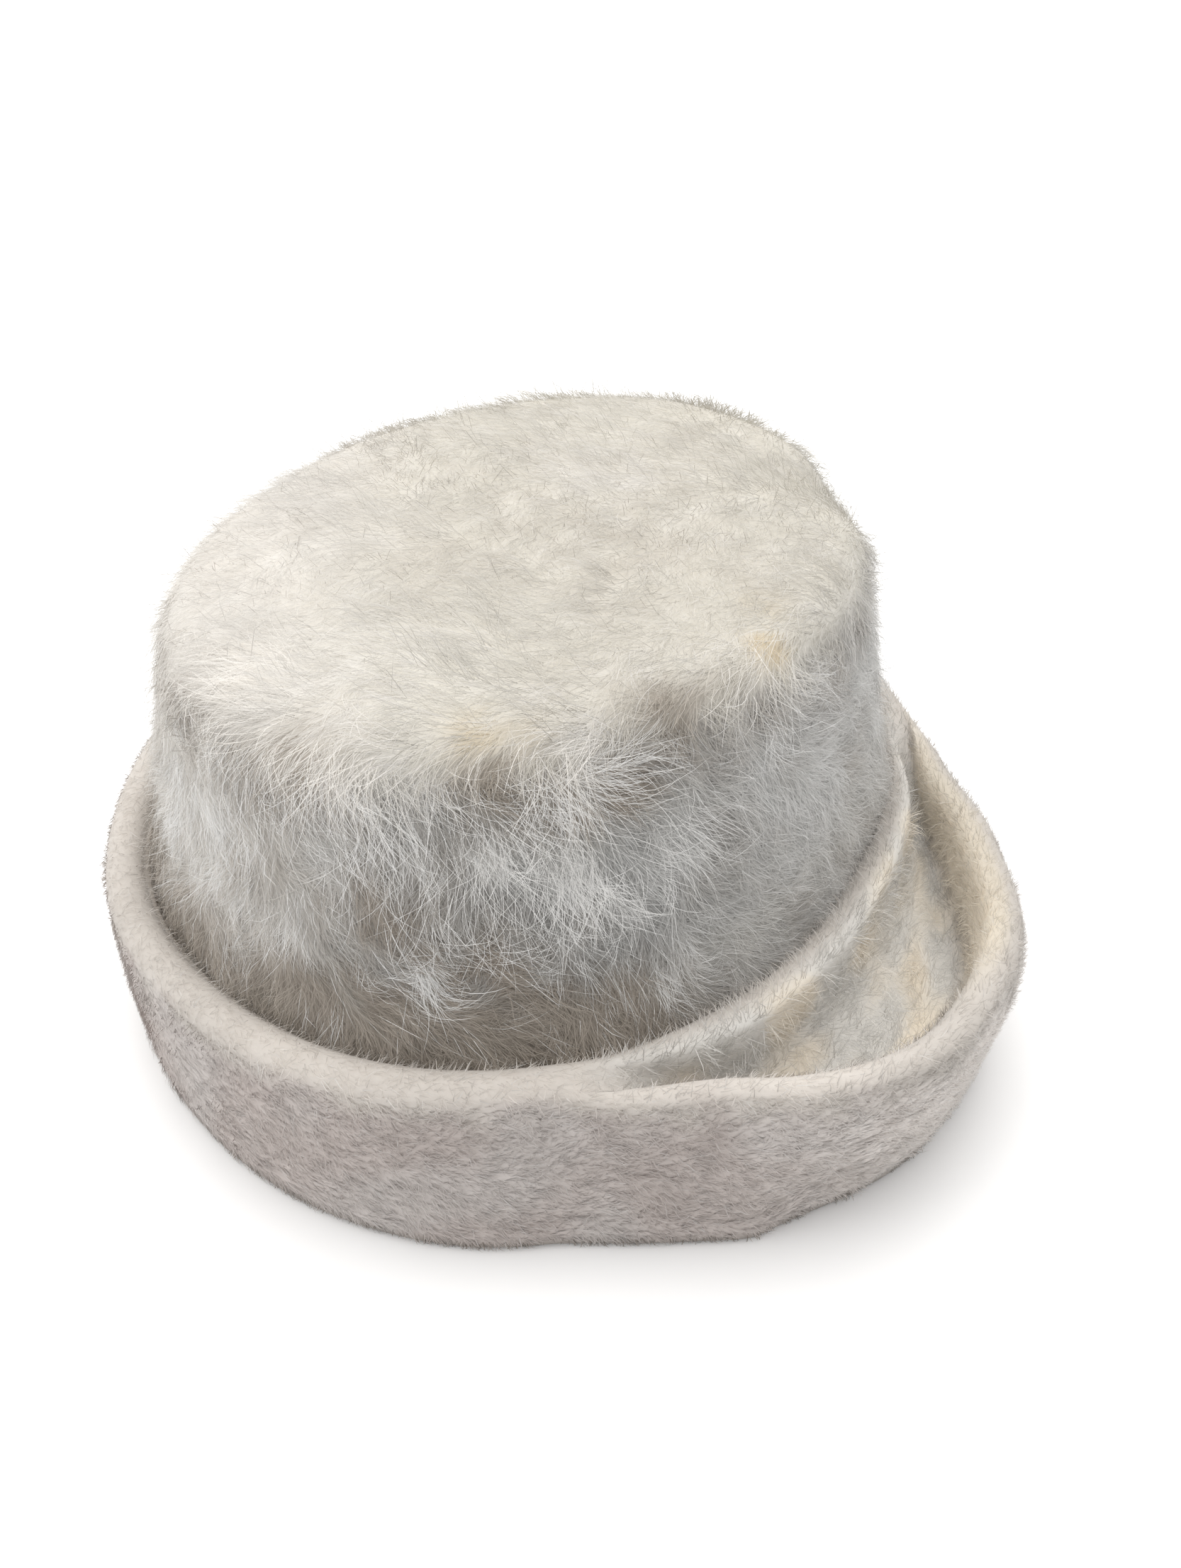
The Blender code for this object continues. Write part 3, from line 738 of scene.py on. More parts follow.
def bake_cells(count, segments):
    """A place on the bake map for each vertex: the map is cut into square cells, one for each
    strand, which stands upright in its cell with a margin round it."""
    cells = math.ceil(math.sqrt(count))
    row, column = np.divmod(np.arange(count), cells)
    t = np.repeat(np.arange(segments) / segments, 2)
    u = np.concatenate([np.tile([0.25, 0.75], segments), [0.5]])
    v = np.concatenate([0.15 + 0.7 * t, [0.85]])
    return np.stack([(column[:, None] + u) / cells, (row[:, None] + v) / cells], axis=-1)


def strand_object(name, vertices, place, tint, segments, seed, finish):
    """One mesh of all strands of a region. Vertices carry their share along the strand, the strand's
    own chance number, the place of its root and its tint, for the material to read."""
    count, each = vertices.shape[:2]
    triangles = ribbon_triangles(count, segments)
    mesh = bpy.data.meshes.new(name)
    mesh.vertices.add(count * each)
    mesh.vertices.foreach_set("co", ((vertices - HAT_MIDDLE) * MM).astype(np.float32).ravel())
    mesh.loops.add(triangles.size)
    mesh.loops.foreach_set("vertex_index", triangles.astype(np.int32).ravel())
    mesh.polygons.add(len(triangles))
    mesh.polygons.foreach_set("loop_start", np.arange(0, triangles.size, 3, dtype=np.int32))
    mesh.update(calc_edges=True)
    t = np.concatenate([np.repeat(np.arange(segments) / segments, 2), [1.0]])
    chance = np.random.default_rng(seed).uniform(0, 1, count)
    for label, values in (("along", np.tile(t, count)), ("strand", np.repeat(chance, each))):
        layer = mesh.attributes.new(label, "FLOAT", "POINT")
        layer.data.foreach_set("value", values.astype(np.float32))
    for label, values in (("root", place), ("tint", tint)):
        layer = mesh.attributes.new(label, "FLOAT_VECTOR", "POINT")
        layer.data.foreach_set("vector", np.repeat(values, each, axis=0).astype(np.float32).ravel())
    cells = bake_cells(count, segments).reshape(-1, 2)
    layer = mesh.uv_layers.new(name="OFBake")
    layer.data.foreach_set("uv", cells[triangles.ravel()].astype(np.float32).ravel())
    mesh.shade_smooth()
    mesh.materials.append(finish)
    made = bpy.data.objects.new(name, mesh)
    made.visible_shadow = False
    bpy.context.scene.collection.objects.link(made)
    print(name + ":", count, "strands,", len(triangles), "triangles")
    return made


one_strand = ribbon_triangles(1, 2)
print("a strand of two steps has", len(one_strand), "triangles")

# %% [markdown]
# Shader maths is easier to read as sums than as wires. This small class wraps a socket: adding or
# multiplying two wires adds the Math node for it. Colours go through a Vector Math node, because a
# Math node would turn them grey.

# %% Shader wires
class Wire:
    """A node's output socket in a material, or the bare material when it has no socket yet."""

    def __init__(self, tree, socket=None):
        self.tree = tree
        self.socket = socket

    def node(self, kind, settings=None, sockets=None, output=0):
        """Adds a node: first its settings, then the values or wires of its sockets."""
        made = self.tree.nodes.new(kind)
        for name, value in (settings or {}).items():
            setattr(made, name, value)
        for name, value in (sockets or {}).items():
            if isinstance(value, Wire):
                self.tree.links.new(value.socket, made.inputs[name])
            else:
                made.inputs[name].default_value = value
        return Wire(self.tree, made.outputs[output])

    def maths(self, operation, first, second):
        """Adds a Math node for two numbers or wires."""
        return self.node("ShaderNodeMath", {"operation": operation}, {0: first, 1: second})

    def __add__(self, other):
        return self.maths("ADD", self, other)

    def __radd__(self, other):
        return self.maths("ADD", other, self)

    def __mul__(self, other):
        return self.maths("MULTIPLY", self, other)

    def __rmul__(self, other):
        return self.maths("MULTIPLY", other, self)

    def clamped(self, low, high):
        """The wire held between two numbers, and spread to 0..1."""
        sockets = {"Value": self, "From Min": low, "From Max": high}
        return self.node("ShaderNodeMapRange", {"clamp": True}, sockets)

    def lit(self, amount):
        """This colour, made darker or lighter by an amount."""
        return self.node("ShaderNodeVectorMath", {"operation": "SCALE"}, {0: self, "Scale": amount})

    def attribute(self, name, output="Fac"):
        """A value that the mesh carries."""
        settings = {"attribute_name": name}
        return self.node("ShaderNodeAttribute", settings, output=output)

    def noise(self, place, scale, detail):
        """Smooth noise between 0 and 1 at a place, in waves for each unit of the place."""
        sockets = {"Vector": place, "Scale": scale, "Detail": detail}
        return self.node("ShaderNodeTexNoise", {"noise_dimensions": "3D"}, sockets)


def new_finish(name, constants):
    """A material with its shader's unchanging values set on the shader itself."""
    material = bpy.data.materials.new(name)
    material.use_nodes = True
    shader = material.node_tree.nodes["Principled BSDF"]
    for socket, value in constants.items():
        shader.inputs[socket].default_value = value
    return material, shader, Wire(material.node_tree)


def connect(wire, socket):
    """Links a wire to a shader's socket."""
    wire.tree.links.new(wire.socket, socket)


print("wires add these nodes: attribute, noise, map range, sums, products and scaled colours")

# %% [markdown]
# The nap's finish works hair by hair. A hair is darker at its root, where shade lies, and paler
# towards its tip. Its tone comes from its own chance number and from noise read at its root, so a
# whole hair keeps one tone. The long wisps have a finish of their own, glossier and more even,
# because on the real hat such hair catches the light in front.

# %% Hair finishes
TIP_TONE = 1.02
PATCH_WAVES, FLECK_WAVES = 0.07, 0.45           # waves for each millimetre, read at a hair's root
PATCH_RANGE, FLECK_RANGE = (0.35, 0.65), (0.3, 0.7)     # the noise between these is spread to 0..1
PATCH_PART, FLECK_PART, OWN_PART = 0.35, 0.25, 0.50     # of a hair's tone
HAIR_SHADER = {"Sheen Roughness": 0.4, "Specular IOR Level": 0.45}


def hair_finish(name, root_tone, unevenness, roughness, sheen):
    """Hair for one part of the hat. Its tone runs from root_tone to TIP_TONE along the hair, times 1
    less unevenness, plus unevenness times the parts of patches, flecks and the hair's own chance."""
    constants = {"Roughness": roughness, "Sheen Weight": sheen, **HAIR_SHADER}
    material, shader, board = new_finish(name, constants)
    root = board.attribute("root", output="Vector")
    patches = board.noise(root, PATCH_WAVES, detail=3.0).clamped(*PATCH_RANGE)
    flecks = board.noise(root, FLECK_WAVES, detail=1.0).clamped(*FLECK_RANGE)
    chance = PATCH_PART * patches + FLECK_PART * flecks + OWN_PART * board.attribute("strand")
    tone = root_tone + (TIP_TONE - root_tone) * board.attribute("along")
    tone = tone * (1.0 - unevenness + unevenness * chance)
    connect(board.attribute("tint", output="Vector").lit(tone), shader.inputs["Base Color"])
    return material


nap_finish = hair_finish("long silky nap", root_tone=0.84, unevenness=0.30, roughness=0.50,
                         sheen=0.25)
wisp_finish = hair_finish("glossy white wisps", root_tone=1.00, unevenness=0.08, roughness=0.36,
                          sheen=0.40)
pile_finish = hair_finish("short brushed pile", root_tone=0.92, unevenness=0.28, roughness=0.75,
                          sheen=0.20)
print("hair finishes:", [finish.name for finish in (nap_finish, wisp_finish, pile_finish)])

# %% [markdown]
# Between the hairs the felt itself shows. It is matted hair, so its tint has soft blotches a
# centimetre or two wide and a grain of about a millimetre, which also makes it rough to the light.

# %% Felt finishes
BLOTCH_WAVES, GRAIN_WAVES = 60.0, 900.0         # waves for each metre
GROUND_TONE, BLOTCH_PART, GRAIN_PART = 0.88, 0.14, 0.10
GRAIN_STRENGTH = 0.5
FELT_SHADER = {"Roughness": 0.95, "Sheen Weight": 0.2, "Specular IOR Level": 0.2}


def ground_finish(name, tone, grain_depth):
    """The felt under the hair: its tint times a tone with blotches and grain, and a bump of the grain
    as deep as grain_depth, in metres."""
    material, shader, board = new_finish(name, FELT_SHADER)
    place = board.node("ShaderNodeTexCoord", output="Object")
    blotches = board.noise(place, BLOTCH_WAVES, detail=4.0)
    grain = board.noise(place, GRAIN_WAVES, detail=3.0)
    tone = tone * (GROUND_TONE + BLOTCH_PART * blotches + GRAIN_PART * grain)
    connect(board.attribute("tint", output="Vector").lit(tone), shader.inputs["Base Color"])
    relief = {"Height": grain, "Strength": GRAIN_STRENGTH, "Distance": grain_depth}
    connect(board.node("ShaderNodeBump", sockets=relief), shader.inputs["Normal"])
    return material


crown_ground_finish = ground_finish("crown felt ground", tone=0.93, grain_depth=0.0004)
brim_ground_finish = ground_finish("brim felt ground", tone=0.99, grain_depth=0.0003)
print("felt finishes:", crown_ground_finish.name, "and", brim_ground_finish.name)

# %% [markdown]
# The two grounds are closed felt bodies in the solids' places: the crown with its hollow inside, and
# the brim with its flat sole. Only the hem joins the crown's two skins, so a head still fits.

# %% Felt grounds
UNDER_SILK = 0.6        # the felt under white hair shows this share of its white


def ring_join(lower, upper, columns):
    """Quads between two rings of points that close round the hat, by the numbers of their first
    points."""
    here = np.arange(columns)
    after = (here + 1) % columns
    return np.stack([lower + here, lower + after, upper + after, upper + here], axis=-1)


def grid_faces(first, grid):
    """Quads between all neighbouring rows of a grid whose points are numbered from first."""
    rows, columns = grid.shape[:2]
    starts = first + columns * np.arange(rows)
    return np.concatenate([ring_join(low, high, columns) for low, high in zip(starts, starts[1:])])


def felt_body(name, points, faces, tint, finish, node):
    """One closed body of felt with a tint at each vertex, its double points merged and its faces
    turned outwards."""
    mesh = bpy.data.meshes.new(name)
    mesh.from_pydata(((points - HAT_MIDDLE) * MM).tolist(), [], faces.tolist())
    layer = mesh.attributes.new("tint", "FLOAT_VECTOR", "POINT")
    layer.data.foreach_set("vector", tint.astype(np.float32).ravel())
    shape = bmesh.new()
    shape.from_mesh(mesh)
    bmesh.ops.remove_doubles(shape, verts=shape.verts[:], dist=1e-6)
    bmesh.ops.recalc_face_normals(shape, faces=shape.faces[:])
    shape.to_mesh(mesh)
    shape.free()
    mesh.shade_smooth()
    mesh.materials.append(finish)
    body = bpy.data.objects.new(name, mesh)
    bpy.context.scene.collection.objects.link(body)
    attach(body, "root")
    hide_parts(node)
    print(name + ":", len(mesh.polygons), "faces")


inner_start = felt_skin[..., 0].size
crown_points = np.concatenate([felt_skin.reshape(-1, 3), inside_skin.reshape(-1, 3)])
crown_normals = np.concatenate([felt_normals.reshape(-1, 3),
                                -grid_normals(inside_skin, closed_end=True).reshape(-1, 3)])
hem = ring_join(inner_start, 0, CROWN_COLUMNS)
crown_faces = np.concatenate([grid_faces(0, felt_skin),
                              grid_faces(inner_start, inside_skin)[:, ::-1], hem])
crown_ground_tint = blended(crown_tint(crown_points, crown_normals), SILK_AND_HIGHLIGHT,
                            UNDER_SILK * silk_and_highlight_share(crown_points))
felt_body("crown_ground", crown_points, crown_faces, crown_ground_tint, crown_ground_finish,
          "crown")

brim_points = brim_ground.reshape(-1, 3)
sole = ring_join(len(brim_points) - BRIM_COLUMNS_ROUND, 0, BRIM_COLUMNS_ROUND)
brim_faces = np.concatenate([grid_faces(0, brim_ground), sole])
brim_ground_tint = brim_tint(brim_points, np.repeat(brim_along, BRIM_COLUMNS_ROUND),
                             angle_of(brim_points))
felt_body("brim_ground", brim_points, brim_faces, brim_ground_tint, brim_ground_finish,
          "brim")

# %% [markdown]
# The nap was brushed before it was photographed. On the top it runs to the front left. Down the side
# it falls, leaning to the right as it goes. Between the two it turns over the edge, and in a few
# places it swirls round a cowlick. The flow is a direction for each root: the two combed directions
# blended by how far the felt faces up, then turned by drifting noise and by the cowlicks.

# %% Lie of the crown's nap
LEAN_TABLE = np.array([
    # angle, lean from straight down towards greater angles, in degrees
    (0, 10.0),
    (60, -8.0),
    (120, 5.0),
    (180, 12.0),
    (225, 22.0),
    (255, 34.0),
    (285, 42.0),
    (320, 34.0),
])
COWLICK_TABLE = np.array([
    # x, y, z, reach, strength: places on the crown from its axis, in millimetres
    (10.0, -78.0, 104.0, 13.0, 1.7),
    (-3.0, -93.0, 62.0, 12.0, -1.3),
    (34.0, -80.0, 60.0, 14.0, 1.2),
    (-70.0, -40.0, 104.0, 14.0, 1.2),
    (30.0, 66.0, 104.0, 16.0, -1.2),
])


TOP_TAKES_OVER = (0.30, 0.55)   # height part of a normal where the top's comb takes over
COMB_WANDER = 22.0              # degrees that the comb's direction drifts by on the top
STRAY, TOP_CALM = 24.0, 0.35    # degrees that hairs stray by in drifts, and how much less on top


def crown_flow(place, normal):
    """The direction of each hair, one long and square to the normal."""
    angle = angle_of(place)
    lean = np.radians(round_values(LEAN_TABLE[:, 0], LEAN_TABLE[:, 1], angle))[:, None]
    side = DOWN * np.cos(lean) + way_round(angle) * np.sin(lean)
    top = way_out(TOP_COMB + COMB_WANDER * drift(place, 60.0, 21))
    upward = rising(normal[:, 2], *TOP_TAKES_OVER)
    flow = blended(side, top, upward)
    for x, y, z, reach, strength in COWLICK_TABLE:
        away = place - np.array([x, y, z])
        near = np.exp(-(away ** 2).sum(axis=1) / reach ** 2)[:, None]
        flow = flow + strength * near * np.cross(normal, away) / reach
    stray = STRAY * drift(place, 26.0, 22) + STRAY * drift(place, 9.0, 23)
    return turned(unit(flattened(flow, normal)), normal, (1.0 - TOP_CALM * upward) * stray)


def flat_pull(place, flow, normal, locks, seed):
    """How far a hair's tip is pulled towards its lock's middle, within the felt's surface. Locks are
    given by how far ahead of the root they gather, how far apart they lie, and the share of the way
    to its lock's middle that a hair goes."""
    ahead, apart, share = locks
    tip = place + flow * ahead
    return flattened(share * (nearest_gathering(tip, apart, seed) - tip), normal)


in_front = np.array([[0.0, -90.0, 80.0]])
print("the nap in front lies along", crown_flow(in_front, -way_round(np.zeros(1))).round(2))

# %% [markdown]
# Three kinds of hair grow on the crown. The combed nap covers it all. Loose fuzz stands off it and
# blurs its outline. Long glossy wisps lie over it in a few places. Each kind is a few chance numbers
# for each root: length, lift, width and bend. The nap is made in four regions, so that no object
# grows too large.

# %% Hair of the crown
# spread is in degrees between neighbours, bend is a share of the length, width is in millimetres,
# and tilt is in radians
NAP = {"spread": 19.0, "bend": 0.26, "width": (0.11, 0.18), "tilt": 0.6}
FUZZ = {"spread": 36.0, "bend": 0.35, "width": (0.09, 0.14), "tilt": 0.9}
WISP = {"spread": 18.0, "bend": 0.45, "width": (0.10, 0.16), "tilt": 0.6}
# locks: how far ahead of the root they gather, how far apart they lie, and how strongly they pull
SMALL_LOCKS, LARGE_LOCKS = (4.0, 3.2, 0.25), (6.0, 9.0, 0.13)
FUZZ_LOCKS, WISP_LOCKS = (3.0, 4.0, 0.35), (8.0, 8.0, 0.35)
NAP_LENGTH, NAP_LOSES_LOW = 8.8, 3.6                # length on top, and how much less it is low down
SHORT_NAP = (60.0, 30.0)                            # heights over which it grows short
NAP_LENGTHS, NAP_LIFTS = (0.5, 1.2), (0.2, 1.3)     # shares of the length and the lift
NAP_LIFT, LIFT_DRIFT, LEAST_LIFT = 2.0, 0.6, 0.3
SILKY_LIFT, RIDGE_LIFT = 0.8, 0.7                   # more lift of silky hair, and near the ridge
NEAR_RIDGE, RIDGE_STRETCH = 9.0, 6.0
NAP_FINER_LOW = 0.2
EDGE_DROOP = 0.16       # share of its length that a hair on the top's edge hangs by
EDGE_IN, EDGE_OUT = (0.0, 0.6), (0.97, 0.2)         # height part of a normal on that edge
FUZZ_FROM, FUZZ_LENGTHS = 40.0, (4.0, 9.0)
FUZZ_LEAST_LIFT, FUZZ_LIFTS = 1.0, (0.35, 0.75)     # in millimetres, then shares of the length
WISP_LENGTHS, WISP_LIFTS, WISP_DROOP = (8.0, 14.0), (2.0, 3.6), 0.05
WISP_SCATTER = 0.6
SILK_AHEAD = {"nap": 4.0, "fuzz": 3.0}   # how far from its root a hair looks up its silk share
STEPS, WISP_STEPS = 2, 5                 # steps of a ribbon
CLEAR_OVER, GUTTER_VIEW = 1.0, 7.0       # how far over the brim, or down a gutter, roots are in sight


def clear_of_brim(place):
    """True where a root on the crown is above the brim, or where the gutter leaves it in sight."""
    brim = brim_columns(angle_of(place))
    return place[:, 2] > brim["ridge_top"] + CLEAR_OVER - GUTTER_VIEW * brim["gutter"]


def crown_roots(weight, count, seed, lowest=0.0):
    """Chance roots on the crown's felt, in sight and over a height: their places and normals."""
    place, normal, _ = scatter(felt_skin, felt_normals, weight, count, seed)
    clear = clear_of_brim(place) & (place[:, 2] > lowest)
    return place[clear], normal[clear]


def hang_on_crown(name, hairs, silky, tilt, segments, seed, finish):
    """Makes an object of the crown's hairs, each tinted as the felt is under its middle, or white
    if it is a silky one. No hair reaches into the brim's flat layer."""
    vertices = ribbons(hairs, tilt, segments, seed + 1)
    vertices[..., 2] = np.maximum(vertices[..., 2], SHELF + SEAM_GAP)
    place, normal = hairs["place"], hairs["normal"]
    under_middle = place + hairs["flow"] * (0.5 * hairs["length"])[:, None]
    white = blended(SILK_AND_HIGHLIGHT, IVORY_AND_LIGHT, rising(normal[:, 2], *FACES_UP))
    tint = np.where(silky[:, None], white, crown_tint(under_middle, normal))
    made = strand_object(name, vertices, place, tint, segments, seed + 2, finish)
    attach(made, "root")


def comb_nap(name, weight, count, seed):
    """The long nap of one region of the crown, as one object."""
    source = np.random.default_rng(seed)
    place, normal = crown_roots(weight, count, seed)
    count = len(place)
    height, facing = place[:, 2], normal[:, 2]
    flow = turned(crown_flow(place, normal), normal, source.normal(0, NAP["spread"], count))
    silky = source.uniform(0, 1, count) < silk_and_highlight_share(place + flow * SILK_AHEAD["nap"])
    low = falling(height, *SHORT_NAP)
    length = (NAP_LENGTH - NAP_LOSES_LOW * low) * source.uniform(*NAP_LENGTHS, count)
    lift = (NAP_LIFT + LIFT_DRIFT * drift(place, 14.0, 31)) * source.uniform(*NAP_LIFTS, count)
    ridge_top = brim_columns(angle_of(place))["ridge_top"]
    over_ridge = falling(height, ridge_top + NEAR_RIDGE, RIDGE_STRETCH)
    lift = (np.maximum(lift, LEAST_LIFT) + np.where(silky, SILKY_LIFT, 0.0)
            + RIDGE_LIFT * over_ridge * source.uniform(0, 1, count))
    hairs = {"place": place, "normal": normal, "flow": flow, "length": length, "lift": lift,
             "bend": source.normal(0, NAP["bend"], count),
             "width": source.uniform(*NAP["width"], count) * (1 - NAP_FINER_LOW * low),
             "pull": (flat_pull(place, flow, normal, SMALL_LOCKS, 32)
                      + flat_pull(place, flow, normal, LARGE_LOCKS, 33)),
             "droop": EDGE_DROOP * rising(facing, *EDGE_IN) * falling(facing, *EDGE_OUT)}
    hang_on_crown(name, hairs, silky, NAP["tilt"], STEPS, seed, nap_finish)


def loose_fuzz(name, weight, count, seed):
    """The finest hairs, which stand off the combed nap all over the crown and blur its outline."""
    source = np.random.default_rng(seed)
    place, normal = crown_roots(weight, count, seed, FUZZ_FROM)
    count = len(place)
    flow = turned(crown_flow(place, normal), normal, source.normal(0, FUZZ["spread"], count))
    silky = source.uniform(0, 1, count) < silk_and_highlight_share(place + flow * SILK_AHEAD["fuzz"])
    length = source.uniform(*FUZZ_LENGTHS, count)
    hairs = {"place": place, "normal": normal, "flow": flow, "length": length,
             "lift": FUZZ_LEAST_LIFT + length * source.uniform(*FUZZ_LIFTS, count),
             "width": source.uniform(*FUZZ["width"], count),
             "bend": source.normal(0, FUZZ["bend"], count),
             "pull": flat_pull(place, flow, normal, FUZZ_LOCKS, 34),
             "droop": np.zeros(count)}
    hang_on_crown(name, hairs, silky, FUZZ["tilt"], STEPS, seed, nap_finish)


WISP_TABLE = np.array([
    # x, y, z, reach, hairs: where long glossy hairs lie over the nap, from the crown's axis
    (12.0, -77.0, 103.0, 9.0, 280),
    (-2.0, -86.0, 92.0, 11.0, 220),
    (12.0, -86.0, 82.0, 8.0, 200),
    (-30.0, -82.0, 103.0, 13.0, 300),
    (-52.0, -60.0, 110.0, 14.0, 280),
    (32.0, -76.0, 84.0, 12.0, 110),
    (52.0, -52.0, 104.0, 12.0, 140),
    (-16.0, -94.0, 72.0, 14.0, 130),
])


def long_wisps(name, seed):
    """Long curved hairs in the places of the table, scattered by normal chance and set on the felt
    by moving each to the nearest point of the felt's grid."""
    source = np.random.default_rng(seed)
    hairs_here = WISP_TABLE[:, 4].astype(int)
    centre = np.repeat(WISP_TABLE[:, :3], hairs_here, axis=0)
    reach = np.repeat(WISP_TABLE[:, 3], hairs_here)[:, None]
    wanted = centre + source.normal(0, WISP_SCATTER, centre.shape) * reach
    corners, corner_normals = felt_skin.reshape(-1, 3), felt_normals.reshape(-1, 3)
    nearest = np.array([((corners - point) ** 2).sum(axis=1).argmin() for point in wanted])
    normal = corner_normals[nearest]
    place = wanted - normal * ((wanted - corners[nearest]) * normal).sum(axis=1, keepdims=True)
    count = len(place)
    flow = turned(crown_flow(place, normal), normal, source.normal(0, WISP["spread"], count))
    hairs = {"place": place, "normal": normal, "flow": flow,
             "length": source.uniform(*WISP_LENGTHS, count),
             "lift": source.uniform(*WISP_LIFTS, count),
             "width": source.uniform(*WISP["width"], count),
             "bend": source.normal(0, WISP["bend"], count),
             "pull": flat_pull(place, flow, normal, WISP_LOCKS, 35),
             "droop": np.full(count, WISP_DROOP)}
    silky = np.ones(count, dtype=bool)
    hang_on_crown(name, hairs, silky, WISP["tilt"], WISP_STEPS, seed, wisp_finish)


TOP_FROM = 98.0         # height where the top's region begins
SECTOR = 120.0          # degrees that each region of the side spans
SIDE_SECTORS = (
    # name, angle where it begins, hairs, seed
    ("front", 210.0, 60000, 111),
    ("right", 330.0, 46000, 121),
    ("back", 90.0, 36000, 131),
)
quad_middle = (felt_skin[:-1] + felt_skin[1:]) / 2
quad_angle = np.mod(angle_of(quad_middle), 360.0)
on_top = quad_middle[..., 2] > TOP_FROM
comb_nap("top_nap", on_top.astype(float), count=50000, seed=101)
for label, start, hairs, seed in SIDE_SECTORS:
    in_sector = np.mod(quad_angle - start, 360.0) < SECTOR
    comb_nap("side_nap_" + label, (in_sector & ~on_top).astype(float), hairs, seed)
loose_fuzz("loose_fuzz", np.ones(on_top.shape), count=16000, seed=151)
long_wisps("long_wisps", seed=161)

# %% [markdown]
# The brim's pile is short and dense. On the cuff's face it was brushed round the hat, a little
# downwards. Over the rolled edges it stands short and even, and in the crescent fold, where no brush
# reaches, it is longer and lies every way. At the foot it hangs down as a fine fringe.

# %% Pile of the brim
PILE = {"bend": 0.20, "width": (0.14, 0.25), "tilt": 0.25}
PILE_LOCKS = (1.2, 2.2, 0.10)
PILE_LENGTH = {"all": 3.0, "face": 0.3, "fold": 2.6, "crest": 0.8}
PILE_LIFT = {"all": 0.75, "drift": 0.25, "fold": 0.8, "crest": 1.1}
PILE_LENGTHS, PILE_LIFTS = (0.5, 1.3), (0.3, 1.5)       # shares of the length and the lift
PILE_STRAY = {"broad": 12.0, "fine": 10.0, "fold": 55.0, "hair": 26.0, "off the face": 14.0}
PILE_FOLD_IN, PILE_FOLD_OUT = (RIDGE_AT + 2.5, 1.0), (RIM_AT + 0.5, 1.0)
CREST_IN, CREST_OUT = (RIDGE_AT - 1.0, 1.0), (RIDGE_AT + 4.5, 1.0)
FACE_IN = (FACE_AT - 1.0, 1.0)
FRINGE = (8.0, 7.0)             # height where the cuff's pile turns down into a fringe
ROUND_LOST, FACE_DOWN, FOOT_DOWN, CREST_INWARD = 0.8, 0.12, 0.9, 1.2
PALE_HAIRS, PALE_SILK = 0.08, 0.35
LOWEST_HAIR = 0.25              # the pile keeps this far off the table


def brush_pile(name, weight, count, seed):
    """The short pile of one region of the brim, as one object. The shares fold, face, foot and crest
    say how far a root lies in the fold, on the cuff's face, at its foot and on the ridge's crest."""
    source = np.random.default_rng(seed)
    place, normal, row = scatter(brim_ground, brim_normals, weight, count, seed)
    angle = angle_of(place)
    along = np.interp(row, np.arange(len(brim_along)), brim_along)
    fold = rising(along, *PILE_FOLD_IN) * falling(along, *PILE_FOLD_OUT)
    fold = fold * (1 - smooth_step(brim_columns(angle)["merge"]))
    face = rising(along, *FACE_IN)
    foot = falling(place[:, 2], *FRINGE) * face
    crest = rising(along, *CREST_IN) * falling(along, *CREST_OUT)
    flow = (way_round(angle) * (1 - ROUND_LOST * foot)[:, None]
            + DOWN * (FACE_DOWN * face + FOOT_DOWN * foot)[:, None]
            - way_out(angle) * (CREST_INWARD * crest)[:, None])
    stray = (PILE_STRAY["broad"] * drift(place, 24.0, 41) + PILE_STRAY["fine"] * drift(place, 7.0, 42)
             + PILE_STRAY["fold"] * fold * drift(place, 13.0, 43))
    hair_stray = PILE_STRAY["hair"] + PILE_STRAY["off the face"] * (1 - face)
    stray = stray + hair_stray * source.normal(0, 1.0, count)
    flow = turned(unit(flattened(flow, normal)), normal, stray)
    length = (PILE_LENGTH["all"] + PILE_LENGTH["face"] * face + PILE_LENGTH["fold"] * fold
              + PILE_LENGTH["crest"] * crest) * source.uniform(*PILE_LENGTHS, count)
    lift = (PILE_LIFT["all"] + PILE_LIFT["drift"] * drift(place, 10.0, 44)
            + PILE_LIFT["fold"] * fold + PILE_LIFT["crest"] * crest)
    hairs = {"place": place, "normal": normal, "flow": flow, "length": length,
             "lift": lift * source.uniform(*PILE_LIFTS, count),
             "bend": source.normal(0, PILE["bend"], count),
             "width": source.uniform(*PILE["width"], count),
             "pull": flat_pull(place, flow, normal, PILE_LOCKS, 45),
             "droop": np.zeros(count)}
    vertices = ribbons(hairs, PILE["tilt"], STEPS, seed + 1)
    vertices[..., 2] = np.maximum(vertices[..., 2], LOWEST_HAIR)
    tint = brim_tint(place + flow * (0.5 * length)[:, None], along, angle)
    pale = source.uniform(0, 1, count) < PALE_HAIRS
    tint = blended(tint, SILK_AND_HIGHLIGHT, PALE_SILK * pale)
    made = strand_object(name, vertices, place, tint, STEPS, seed + 2, pile_finish)
    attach(made, "root")


PILE_FROM, CUFF_FROM, PILE_TO = GUTTER_AT + 0.5, FACE_AT - 2.0, FOOT_AT + 0.6
row_middle = ((brim_along[:-1] + brim_along[1:]) / 2)[:, None] + np.zeros((1, BRIM_COLUMNS_ROUND))
outside = row_middle > CUFF_FROM
inside = (row_middle > PILE_FROM) & ~outside
above_foot = row_middle < PILE_TO
brush_pile("cuff_pile", (outside & above_foot).astype(float), count=50000, seed=201)
brush_pile("fold_pile", inside.astype(float), count=40000, seed=211)

